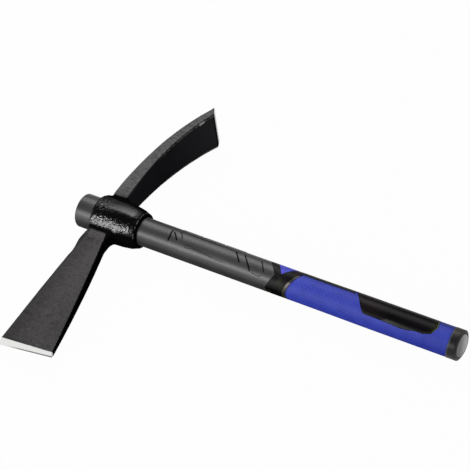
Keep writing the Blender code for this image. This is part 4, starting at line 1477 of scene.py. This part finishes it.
    def adze_size(self, share: float, distance: float) -> Pair:
        """Returns thickness and width at this share of the way to the bevel, this far from the eye's wall."""
        rest = 1.0 - share
        thickness = self.adze_tip_thickness + (self.adze_root_thickness - self.adze_tip_thickness) * rest * rest
        half = lerp(self.adze_edge_length, self.adze_root_width, rest) / 2 + self.adze_bow * 4.0 * share * rest
        return thickness, 2 * self.root_half(distance, half, self.adze_cheek_fillet)

    def adze_sections(self) -> list[list[Vector]]:
        """Returns slices from inside the eye's wall out to the bevel, ground on the side that faces the handle."""
        sections = []
        for sink in self.adze_sinks:
            root = self.adze_spine(0.0)[0] - self.axes(self.adze_root_lean)[0] * self.root_sink * sink
            size = self.adze_size(0.0, -self.root_sink * sink)
            corner = self.corner(-self.root_sink * sink, self.adze_root_rounding)
            sections.append(self.adze_section(0.0, (root, self.adze_root_lean), size, corner))
        reach = self.adze_reach - self.waist
        shares = [self.root_step * k / reach for k in range(self.adze_root_slices)]
        rest = round((1.0 - shares[-1]) * reach / self.section_step)
        shares += [lerp(shares[-1], 1.0, k / rest) for k in range(1, rest + 1)]
        for share in shares:
            spine = self.adze_spine(share)
            distance = spine[0].y - self.waist
            corner = self.corner(distance, self.adze_root_rounding)
            sections.append(self.adze_section(share, spine, self.adze_size(share, distance), corner))
        point, lean = self.adze_spine(1.0)
        out, up = self.axes(lean)
        for share in self.bevel_shares:
            thickness = lerp(self.adze_tip_thickness, self.edge_land, share)
            middle = point + out * self.adze_bevel_run * share + up * (self.adze_tip_thickness - thickness) / 2
            corner = lerp(self.blade_rounding, self.edge_land, share)
            sections.append(self.adze_section(1.0, (middle, lean), (thickness, self.adze_edge_length), corner))
        return sections

    def soften_roots(self, mesh: bmesh.types.BMesh) -> None:
        """Rounds the creases where the blades run into the eye."""
        start, end = HANDLE.eye_front + self.soft_ends[0], HANDLE.eye_rear - self.soft_ends[1]
        near = [v for v in mesh.verts
                if abs(math.hypot(v.co.y, v.co.z) - self.wall(v.co.x)) < self.soft_reach
                and abs(v.co.y) > self.soft_start and start < v.co.x < end]
        for _ in range(self.soft_rounds):
            bmesh.ops.smooth_vert(mesh, verts=near, factor=0.5, use_axis_x=True, use_axis_y=True, use_axis_z=True)

    def relief(self, place: Vector, radius: float) -> float:
        """Works out the forging's unevenness: broad lumps, and pits that grow calm towards the eye's mouth.

        Args:
            place: a point of the skin.
            radius: its distance from the handle's axis.

        Returns:
            How far the skin stands out there.
        """
        x, y, z = place
        start, run = self.lump_fade
        on_eye = 1.0 - smooth_step((abs(y) - start) / run)
        lump = noise.noise(place * self.lump_scale) * self.lump * (self.lump_far + (1.0 - self.lump_far) * on_eye)
        start, run = self.pit_fade
        skin = 1.0 - smooth_step((radius - self.radius - start) / run)
        pits = sum(noise.noise(place * scale) * depth for scale, depth in self.pits)
        start, run = self.pit_turn
        lower = smooth_step((from_back(math.degrees(math.atan2(z, y))) - start) / run)
        upper_start, lower_start, run = self.pit_calm
        calm = smooth_step((x - HANDLE.eye_front - lerp(upper_start, lower_start, lower)) / run)
        pits = (pits - self.pit_bias) * skin * lerp(lerp(*self.pit_upper, calm), lerp(*self.pit_lower, calm), lower)
        first, last, run = self.ground_margins
        edge = min(self.axe_reach_rear - self.axe_bevel_rear - first + y, self.adze_reach - last - y)
        return (lump + pits) * smooth_step(edge / run)

    def hammer(self, mesh: bmesh.types.BMesh) -> None:
        """Gives the skin its relief, strongest on the eye and none on the ground edges or in the hole."""
        mesh.normal_update()
        moves = []
        for vert in mesh.verts:
            radius = math.hypot(vert.co.y, vert.co.z)
            if radius >= HANDLE.seat_radius(vert.co.x) + self.hole_margin:
                moves.append((vert, vert.normal * self.relief(vert.co, radius)))
        for vert, move in moves:
            vert.co += move
            vert.co.z = min(max(vert.co.z, -self.radius), self.radius)

    def build(self) -> None:
        """Shapes and dresses the head."""
        eye = Shape(self.eye_steps)
        eye.spin(self.eye_profile())
        head = eye.to_object("head_forging")
        steps = []
        for name, sections in (("axe_blank", self.axe_sections()), ("adze_blank", self.adze_sections())):
            blade = Shape()
            blade.loft(sections)
            steps.append((Cut.ADD, blade.to_object(name)))
        beyond = HANDLE.eye_length * self.hole_beyond
        ends = HANDLE.eye_front - beyond, HANDLE.eye_rear + beyond
        hole = Shape(self.hole_steps)
        hole.spin([(ends[0], 0.0), *((x, HANDLE.seat_radius(x) + HANDLE.fit_gap) for x in ends), (ends[1], 0.0)])
        carve(head, [*steps, (Cut.TAKE, hole.to_object("eye_hole"))])
        mesh = bmesh.new()
        mesh.from_mesh(head.data)
        bmesh.ops.remove_doubles(mesh, verts=mesh.verts, dist=self.weld)
        self.soften_roots(mesh)
        self.hammer(mesh)
        mesh.to_mesh(head.data)
        mesh.free()
        settle(head, ForgedPaint(), "head", self.sharp)


# The handle


@dataclass(frozen=True)
class MouldedShaft:
    """The grey moulding: knob, taper in the eye, bare shaft with its pads and grooves, and the neck in the grip."""

    pad_height: float = 0.00030
    pad_half_angle: float = 64.0
    pad_start: float = 0.1035
    pad_pitch: float = 0.0230
    pad_count: int = 3
    pad_spacing: float = 0.0018
    pad_slant: float = 0.0050
    pad_rounding: float = 0.0002
    groove_step: float = 0.00001
    groove_depth: float = 0.00050
    groove_taper: float = 0.3
    core_cover: float = 0.0060
    bare_end: float = 0.199
    bare_rings: int = 41
    knob_steps: int = 8
    grip_step: float = 0.0002
    # Each groove's width and its path, in pad pitches from the first pad and degrees
    grooves: tuple[tuple[float, Pairs], ...] = (
        (0.0018, ((-0.13, 79.6), (-0.13, 92.0), (-0.10, 110.8), (-0.11, 131.0))),
        (0.0015, ((-0.03, 87.0), (0.10, 99.0), (0.26, 118.0))),
        (0.0010, ((0.19, 75.0), (0.31, 85.0), (0.46, 105.0))),
        (0.0004, ((0.62, 124.0), (0.82, 121.5), (1.34, 126.5), (1.75, 129.5), (2.18, 137.6), (2.60, 138.5))),
        (0.0004, ((0.64, 129.0), (0.70, 134.5), (1.03, 129.5), (1.41, 132.5), (1.80, 134.5), (2.00, 138.0))),
        (0.0015, ((2.78, 75.0), (2.96, 92.0), (3.18, 116.9))),
        (0.0014, ((3.20, 75.0), (3.46, 102.9), (3.67, 124.6), (3.73, 136.0))),
        (0.0006, ((3.80, 137.5), (3.98, 140.2), (4.21, 141.6), (4.26, 135.0))),
        (0.0011, ((3.97, 76.0), (4.15, 96.8), (4.32, 120.9))),
        (0.0006, ((0.24, 71.5), (1.60, 71.5), (3.02, 71.5))),
    )

    def pads(self) -> list[Outline]:
        """Returns the raised pads over the back of the shaft, with slanted ends."""
        outlines = []
        for k in range(self.pad_count):
            front = self.pad_start + k * self.pad_pitch
            rear = front + self.pad_pitch - self.pad_spacing
            half = [(front + self.pad_slant, self.pad_half_angle), (rear + self.pad_slant, self.pad_half_angle)]
            outlines.append([(front, 0.0), *half, (rear, 0.0), *mirrored(half)[::-1]])
        return outlines

    def groove_outline(self, width: float, path: Sequence[Pair]) -> Outline:
        """Returns a groove's outline, which narrows over the first and last stretch of its path."""
        points = [(self.pad_start + pitches * self.pad_pitch, angle) for pitches, angle in path]
        first, last = (Vector(a).lerp(Vector(b), self.groove_taper) for a, b in (points[:2], points[:-3:-1]))
        return ribbon([points[0], tuple(first), *points[1:-1], tuple(last), points[-1]], width)

    def profile(self) -> list[tuple[Edge, float]]:
        """Returns the moulding's (station, radius) profile, from the knob's face to the bottom of its bore."""
        bore = HANDLE.core_radius + HANDLE.fit_gap
        end = HANDLE.length - HANDLE.disc_thickness - HANDLE.cap_floor - 2 * HANDLE.fit_gap
        start, last = HANDLE.eye_rear + HANDLE.shaft_blend, self.bare_rings - 1
        return [
            *((run, HANDLE.knob_radius - drop) for run, drop in quarter_round(HANDLE.knob_rounding, self.knob_steps)),
            (HANDLE.eye_front, HANDLE.knob_radius),
            (HANDLE.eye_rear, HANDLE.seat_end_radius),
            *((lerp(start, self.bare_end, k / last), HANDLE.shaft_radius) for k in range(self.bare_rings)),
            (shifted(GRIP.base_start, -self.grip_step), HANDLE.shaft_radius),
            (GRIP.base_start, HANDLE.shaft_radius - self.grip_step),
            (GRIP.base_start, HANDLE.neck_radius),
            (end, HANDLE.neck_radius),
            (end, bore),
            (self.core_cover, bore),
        ]

    def build(self) -> None:
        """Shapes and dresses the moulding."""
        jacket = sleeve_object("shaft_moulding", self.profile())
        top = HANDLE.shaft_radius + self.pad_height
        steps = [(Cut.ADD, plate_object(f"pad_{k}", outline, HANDLE.neck_radius, top, self.pad_rounding))
                 for k, outline in enumerate(self.pads())]
        for k, (width, path) in enumerate(self.grooves):
            floor = HANDLE.shaft_radius - self.groove_depth - k * self.groove_step
            near = self.groove_outline(width, path)
            for side, outline in (("near", near), ("far", mirrored(near))):
                cutter = plate_object(f"groove_{k}_{side}", outline, floor, top + 2 * self.pad_height)
                steps.append((Cut.TAKE, cutter))
        carve(jacket, steps)
        settle(jacket, SatinPolymer(), "shaft_jacket")


@dataclass(frozen=True)
class SoftGrip:
    """The grip's mouldings: black base, blue sleeve, blue saddle and the pale line between them."""

    base_start_back: float = 0.2005
    base_start_peak: float = 0.2140
    base_start_belly: float = 0.2065
    shoulder_angle: float = 45.0
    peak_angle: float = 115.0
    blue_start_belly: float = 0.2238
    blue_start_rise: float = 0.0120
    blue_side_angle: float = 75.0
    sweep_power: float = 1.4
    accent_belly: float = 0.0040
    accent_side: float = 0.0018
    accent_end_angle: float = 80.0
    accent_steps: int = 80
    back_half_angle: float = 71.0
    back_inset: float = 0.0273
    back_proud: float = 0.0001
    saddle_band: float = 0.0088
    saddle_corner_band: float = 0.0074
    saddle_corner_angle: float = 105.0
    saddle_reach: float = 0.0274
    saddle_power: float = 1.2
    saddle_angles: tuple[float, ...] = (92.0, 78.0, 64.0, 50.0, 36.0, 18.0)
    swell_lead: float = 0.002
    swell_rings: int = 13
    dots: Pair = (0.238, 0.286)
    black: SoftRubber = SoftRubber(
        "grip_black", (0.004, 0.0035, 0.0035), (0.002, 0.002, 0.002), 0.5, 0.14,
        tints=((0.012, 0.013, 0.005), (0.012, 0.006, 0.009)),
    )
    saddle: SoftRubber = SoftRubber("saddle_blue", (0.080, 0.090, 0.62), (0.065, 0.075, 0.54))

    def base_start(self, angle: float) -> float:
        """Where the bare shaft ends: a blunt arrow head on each side."""
        knots = ((0.0, self.base_start_back), (self.shoulder_angle, self.base_start_back),
                 (self.peak_angle, self.base_start_peak), (180.0, self.base_start_belly))
        return along(knots, from_back(angle))

    def _sweep(self, angle: float) -> float:
        """How far an angle lies from the belly towards the blue's sides, from 0 to 1."""
        return min((180.0 - from_back(angle)) / (180.0 - self.blue_side_angle), 1.0)

    def accent_start(self, angle: float) -> float:
        """The front of the pale line, which sweeps back from the belly to the sides."""
        return self.blue_start_belly + self.blue_start_rise * self._sweep(angle) ** self.sweep_power

    def blue_start(self, angle: float) -> float:
        """The rear of the pale line, which narrows towards the sides."""
        return self.accent_start(angle) + lerp(self.accent_belly, self.accent_side, self._sweep(angle))

    def saddle_outline(self) -> Outline:
        """Returns the blue patch over the back of the handle, pointed on each side."""
        front = self.base_start_back + self.saddle_band
        peak = self.saddle_corner_angle
        corner = (self.base_start(peak) + self.saddle_corner_band, peak)
        tail = front + self.saddle_reach
        rear = [(lerp(tail, corner[0], (angle / peak) ** self.saddle_power), angle) for angle in self.saddle_angles]
        half = [(front, self.shoulder_angle), corner, *rear]
        return half + mirrored(half)[::-1]

    def back_outline(self) -> Outline:
        """Returns the black strip along the back of the grip, cut short on the badge's side."""
        start = self.accent_start(self.blue_side_angle) - self.accent_side
        end = HANDLE.length - self.back_inset
        return [(start, -self.back_half_angle), (end, -self.back_half_angle), (end, BADGE.back_angle),
                (BADGE.start, BADGE.back_angle), (BADGE.start, self.back_half_angle), (start, self.back_half_angle)]

    def build_base(self) -> None:
        """Shapes and dresses the black moulding."""
        half, top, rim = HANDLE.fit_gap / 2, HANDLE.grip_radius, HANDLE.rim
        inner = HANDLE.neck_radius + HANDLE.fit_gap
        step, rear = shifted(self.accent_start, -half), shifted(HANDLE.cap_joint, -half)
        profile = rim_before(shifted(self.base_start, half), inner, top, rim) + rim_behind(step, top, rim)
        profile += [(step, HANDLE.base_radius), (rear, HANDLE.base_radius), (rear, inner)]
        base = sleeve_object("black_grip", profile, closed=True)
        strip = offset_outline(self.back_outline(), -half)
        low = lerp(inner, HANDLE.base_radius, 0.5)
        pocket = offset_outline(self.saddle_outline(), half)
        carve(base, [
            (Cut.ADD, plate_object("back_strip", strip, low, top + self.back_proud, rim)),
            (Cut.TAKE, plate_object("saddle_pocket", pocket, HANDLE.base_radius, top + 2 * HANDLE.fit_gap)),
        ])
        settle(base, self.black, "grip_base")

    def build_sleeve(self) -> None:
        """Shapes and dresses the blue sleeve, open along the back and where the badge is let in."""
        half, top, rim = HANDLE.fit_gap / 2, HANDLE.grip_radius, HANDLE.rim
        inner = HANDLE.base_radius + HANDLE.fit_gap
        rear = shifted(HANDLE.cap_joint, -half)
        profile = rim_before(shifted(self.blue_start, half), inner, top, rim)
        for k in range(self.swell_rings):
            station = HANDLE.swell_start + self.swell_lead + HANDLE.swell_length * k / (self.swell_rings - 1)
            profile.append((station, top + HANDLE.swell_at(station)))
        profile += [*rim_behind(rear, top + HANDLE.swell, rim), (rear, inner)]
        sleeve = sleeve_object("blue_sleeve", profile, closed=True)
        low = lerp(HANDLE.neck_radius, HANDLE.base_radius, 0.5)
        high = HANDLE.cap_radius + 2 * HANDLE.fit_gap
        openings = (("back_opening", self.back_outline()), ("badge_opening", BADGE.pocket()))
        carve(sleeve, [(Cut.TAKE, plate_object(name, offset_outline(outline, half), low, high))
                       for name, outline in openings])
        settle(sleeve, SoftRubber(dots=self.dots), "grip_sleeve")

    def build_saddle(self) -> None:
        """Shapes and dresses the blue patch let into the black band."""
        outline = offset_outline(self.saddle_outline(), -HANDLE.fit_gap / 2)
        low = HANDLE.base_radius + HANDLE.fit_gap
        settle(plate_object("blue_saddle", outline, low, HANDLE.grip_radius, HANDLE.rim), self.saddle, "grip_saddle")

    def build_accent(self) -> None:
        """Shapes and dresses the pale line between the band and the sleeve."""
        half = HANDLE.fit_gap / 2
        span = 360.0 - 2 * self.accent_end_angle
        turns = [self.accent_end_angle + span * k / self.accent_steps for k in range(self.accent_steps + 1)]
        front = [(self.accent_start(angle) + half, angle) for angle in turns]
        rear = [(self.blue_start(angle) - half, angle) for angle in turns]
        low = HANDLE.base_radius + HANDLE.fit_gap
        accent = plate_object("pale_line", front + rear[::-1], low, HANDLE.grip_radius, HANDLE.rim)
        settle(accent, AccentPlastic(), "accent_line")

    def build(self) -> None:
        """Builds all four mouldings."""
        for build in (self.build_base, self.build_sleeve, self.build_saddle, self.build_accent):
            build()


@dataclass(frozen=True)
class Badge:
    """The glossy panel let into the sleeve and the pale edging under and behind it."""

    inset: float = 0.0235
    length: float = 0.0858
    back_angle: float = 50.0
    front_slope: float = 0.0155
    corner: float = 0.0035
    belly_angle: float = 140.0
    front_turn: float = 3.0
    step_length: float = 0.0510
    step_slope: float = 0.0045
    step_angle: float = 129.0
    step_turn: float = 1.5
    shoulder: float = 0.0110
    rear_slope: float = 0.0036
    rear_turns: Pair = (7.0, 34.0)
    rear_rims: Triple = (0.4, 0.9, 0.5)
    rim: float = 0.0016
    proud: float = 0.0002
    edging_tip: Pair = (0.0004, 0.5)
    edging_drop: float = 0.0037
    edging_run: float = 0.0200
    edging_taper: float = 0.0130
    edging_bulge: Pair = (0.6, 0.75)
    # Along the panel: the lighter brown front is a painted soft reflection; it darkens towards the middle and turns
    # olive at the rear end.
    panel_finish: RunPlastic = RunPlastic("badge_gloss", roughness=0.36, level=0.08, course=(
        (0.2907, (0.0090, 0.0065, 0.0070)), (0.3180, (0.0080, 0.0055, 0.0060)), (0.3330, (0.0025, 0.0022, 0.0025)),
        (0.3700, (0.0040, 0.0025, 0.0040)), (0.3725, (0.0080, 0.0085, 0.0040)), (0.3765, (0.0220, 0.0250, 0.0100)),
    ))
    edging_finish: RunPlastic = RunPlastic("edging_grey", roughness=0.45, level=0.12, course=(
        (0.3255, (0.050, 0.052, 0.044)), (0.3340, (0.036, 0.038, 0.034)), (0.3440, (0.018, 0.018, 0.016)),
        (0.3620, (0.008, 0.008, 0.006)), (0.3730, (0.020, 0.024, 0.010)), (0.3765, (0.085, 0.098, 0.050)),
        (0.3790, (0.120, 0.135, 0.075)),
    ))

    @property
    def end(self) -> float:
        """Station of the panel's rear end."""
        return HANDLE.length - self.inset

    @property
    def start(self) -> float:
        """Station of the panel's front end."""
        return self.end - self.length

    @property
    def step(self) -> float:
        """Station where the panel's lower edge starts to step up."""
        return self.end - self.step_length

    def _front(self) -> Outline:
        """Returns the slanted front end and the start of the lower edge."""
        low = (self.start + self.front_slope, self.belly_angle - self.front_turn)
        return [(self.start, self.back_angle), low, (low[0] + self.corner, self.belly_angle)]

    def _rear(self, rim: float) -> Outline:
        """Returns the blunt rear end, this far outside the panel's own."""
        angle = rim / UNROLL
        near, far, share = self.rear_rims
        return [
            (self.end - self.shoulder + near * rim, self.step_angle + angle),
            (self.end - self.corner + far * rim, self.step_angle - self.rear_turns[0] + share * angle),
            (self.end + rim, self.step_angle - self.rear_turns[1]),
            (self.end - self.rear_slope + rim, self.back_angle),
        ]

    def panel(self) -> Outline:
        """Returns the panel, whose lower edge steps up where the edging lies."""
        rise = [(self.step, self.belly_angle - self.step_turn), (self.step + self.step_slope, self.step_angle)]
        return self._front() + rise + self._rear(0.0)

    def _edging_outer(self) -> Outline:
        """Returns the lower side of the edging, which bulges under the panel's step."""
        drop = self.edging_drop / UNROLL
        lowest = self.step + self.edging_run
        run, share = self.edging_bulge
        return [
            (self.step + self.edging_tip[0], self.belly_angle + self.edging_tip[1]),
            (lowest, self.step_angle + drop),
            (lowest + run * self.edging_taper, self.step_angle + share * drop),
            (lowest + self.edging_taper, self.step_angle + self.rim / UNROLL),
            *self._rear(self.rim),
        ]

    def edging(self) -> Outline:
        """Returns the edging between the panel and the sleeve."""
        return self._edging_outer() + self.panel()[:2:-1]

    def pocket(self) -> Outline:
        """Returns the sleeve's opening for the panel and its edging."""
        return self._front() + self._edging_outer()

    def build(self) -> None:
        """Shapes and dresses the panel and its edging."""
        low, top = HANDLE.base_radius + HANDLE.fit_gap, HANDLE.grip_radius
        for name, outline, high, finish, node in (
            ("gloss_panel", self.panel(), top + self.proud, self.panel_finish, "badge_panel"),
            ("pale_edging", self.edging(), top, self.edging_finish, "badge_edging"),
        ):
            outline = offset_outline(outline, -HANDLE.fit_gap / 2)
            settle(plate_object(name, outline, low, high, HANDLE.rim), finish, node)


@dataclass(frozen=True)
class Butt:
    """The black cap and the lighter disc let into its end."""

    chamfer_run: float = 0.0014
    disc_radius: float = 0.0107
    disc_chamfer: float = 0.0003

    def build(self) -> None:
        """Shapes and dresses the cap and the disc."""
        gap, end, start = HANDLE.fit_gap, HANDLE.length, HANDLE.length - HANDLE.disc_thickness
        inner, opening = HANDLE.neck_radius + gap, self.disc_radius + gap
        front = shifted(HANDLE.cap_joint, gap / 2)
        profile = [
            (start - HANDLE.cap_floor - gap, inner),
            *rim_before(front, inner, HANDLE.cap_radius, HANDLE.rim),
            (end - self.chamfer_run, HANDLE.cap_radius), (end, opening + gap), (end, opening), (start - gap, opening),
        ]
        settle(sleeve_object("black_cap", profile), CapPlastic(), "butt_cap")
        disc = Shape()
        disc.spin([(start, 0.0), (start, self.disc_radius), (end - self.disc_chamfer, self.disc_radius),
                   (end, self.disc_radius - self.disc_chamfer), (end, 0.0)])
        settle(disc.to_object("grey_disc"), DiscPlastic(), "butt_disc")


GRIP = SoftGrip()
BADGE = Badge()


# The studio


@dataclass(frozen=True)
class Lamp:
    """A soft box that looks at the tool from a direction."""

    name: str
    direction: Triple
    distance: float
    size: Pair
    radiance: float

    def build(self) -> None:
        """Hangs the lamp, with its long side level along the handle."""
        data = bpy.data.lights.new(self.name, "AREA")
        data.shape = "RECTANGLE"
        data.size, data.size_y = self.size
        data.energy = self.radiance * self.size[0] * self.size[1] * math.pi
        back = Vector(self.direction).normalized()
        across = Vector((1.0, 0.0, 0.0))
        across = (across - back * across.dot(back)).normalized()
        turn = Matrix((across, back.cross(across), back)).transposed().to_4x4()
        linked(self.name, data).matrix_world = Matrix.Translation(back * self.distance) @ turn


@dataclass(frozen=True)
class Studio:
    """Camera, lamps, floor and surroundings."""

    camera_place: Triple = (0.993646, -1.307185, 1.690004)
    right: Triple = (0.847321, 0.519359, -0.110964)
    down: Triple = (0.300091, -0.640603, -0.706805)
    forward: Triple = (-0.438170, 0.565591, -0.698651)
    focal_length: float = 199.149
    sensor: float = 36.0
    sight: float = 20.0
    floor_radius: float = 4.0
    floor_steps: int = 96
    ambient: float = 0.06
    backdrop_share: float = 0.98
    floor_colour: tuple[float, ...] = (0.45, 0.45, 0.45, 1.0)
    white: tuple[float, ...] = (1.0, 1.0, 1.0, 1.0)
    lamps: tuple[Lamp, ...] = (
        Lamp("front_box", (-0.438, -0.812, 0.384), 1.2, (0.8, 0.34), 13.5),
        Lamp("back_box", (-0.438, 0.475, 0.762), 1.2, (0.8, 0.70), 4.6),
        Lamp("top_fill", (0.55, 0.10, 0.83), 1.5, (0.9, 0.9), 2.2),
    )

    def camera(self) -> None:
        """Sets the camera at the photograph's place, with its framing."""
        data = bpy.data.cameras.new("photo_camera")
        data.sensor_width = self.sensor
        data.lens = self.focal_length
        data.clip_end = self.sight
        made = linked("photo_camera", data)
        axes = Matrix((self.right, -Vector(self.down), -Vector(self.forward))).transposed()
        made.matrix_world = Matrix.Translation(self.camera_place) @ axes.to_4x4()
        bpy.context.scene.camera = made

    def floor(self) -> None:
        """Lays a plain white floor."""
        mesh = bmesh.new()
        bmesh.ops.create_circle(mesh, cap_ends=True, segments=self.floor_steps, radius=self.floor_radius)
        data = bpy.data.meshes.new("floor")
        mesh.to_mesh(data)
        mesh.free()
        graph = Graph("white_floor")
        path = graph.add("ShaderNodeLightPath", output="Is Camera Ray")
        rays = path.socket.node.outputs
        seen = path.most(Signal(graph, rays["Is Glossy Ray"])).most(Signal(graph, rays["Is Transmission Ray"]))
        plain = graph.add("ShaderNodeBsdfDiffuse", {}, {"Color": self.floor_colour})
        glow = graph.add("ShaderNodeEmission", {}, {"Color": self.white, "Strength": 1.0})
        data.materials.append(graph.mixed(seen * self.backdrop_share, plain, glow))
        linked("floor", data)

    def build(self) -> None:
        """Sets up everything round the tool."""
        scene = bpy.context.scene
        scene.view_settings.view_transform = "Standard"
        scene.world = bpy.data.worlds.new("studio")
        scene.world.use_nodes = True
        backdrop = scene.world.node_tree.nodes["Background"]
        backdrop.inputs["Color"].default_value = self.white
        backdrop.inputs["Strength"].default_value = self.ambient
        self.camera()
        self.floor()
        for lamp in self.lamps:
            lamp.build()


def main() -> None:
    """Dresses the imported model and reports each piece."""
    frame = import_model()
    for old in ("Cube", "Light", "Camera"):
        if old in bpy.data.objects:
            bpy.data.objects.remove(bpy.data.objects[old])
    Studio().build()
    for part in (ForgedHead(), MouldedShaft(), GRIP, BADGE, Butt()):
        part.build()
    core = frame["nodes"]["fibreglass_core"]
    core.data.materials.clear()
    core.data.materials.append(HardPlastic("glass_fibre", colour=(0.50, 0.42, 0.20), roughness=0.45).material())


if __name__ == "__main__":
    logging.basicConfig(level=logging.INFO, format="%(message)s")
    main()
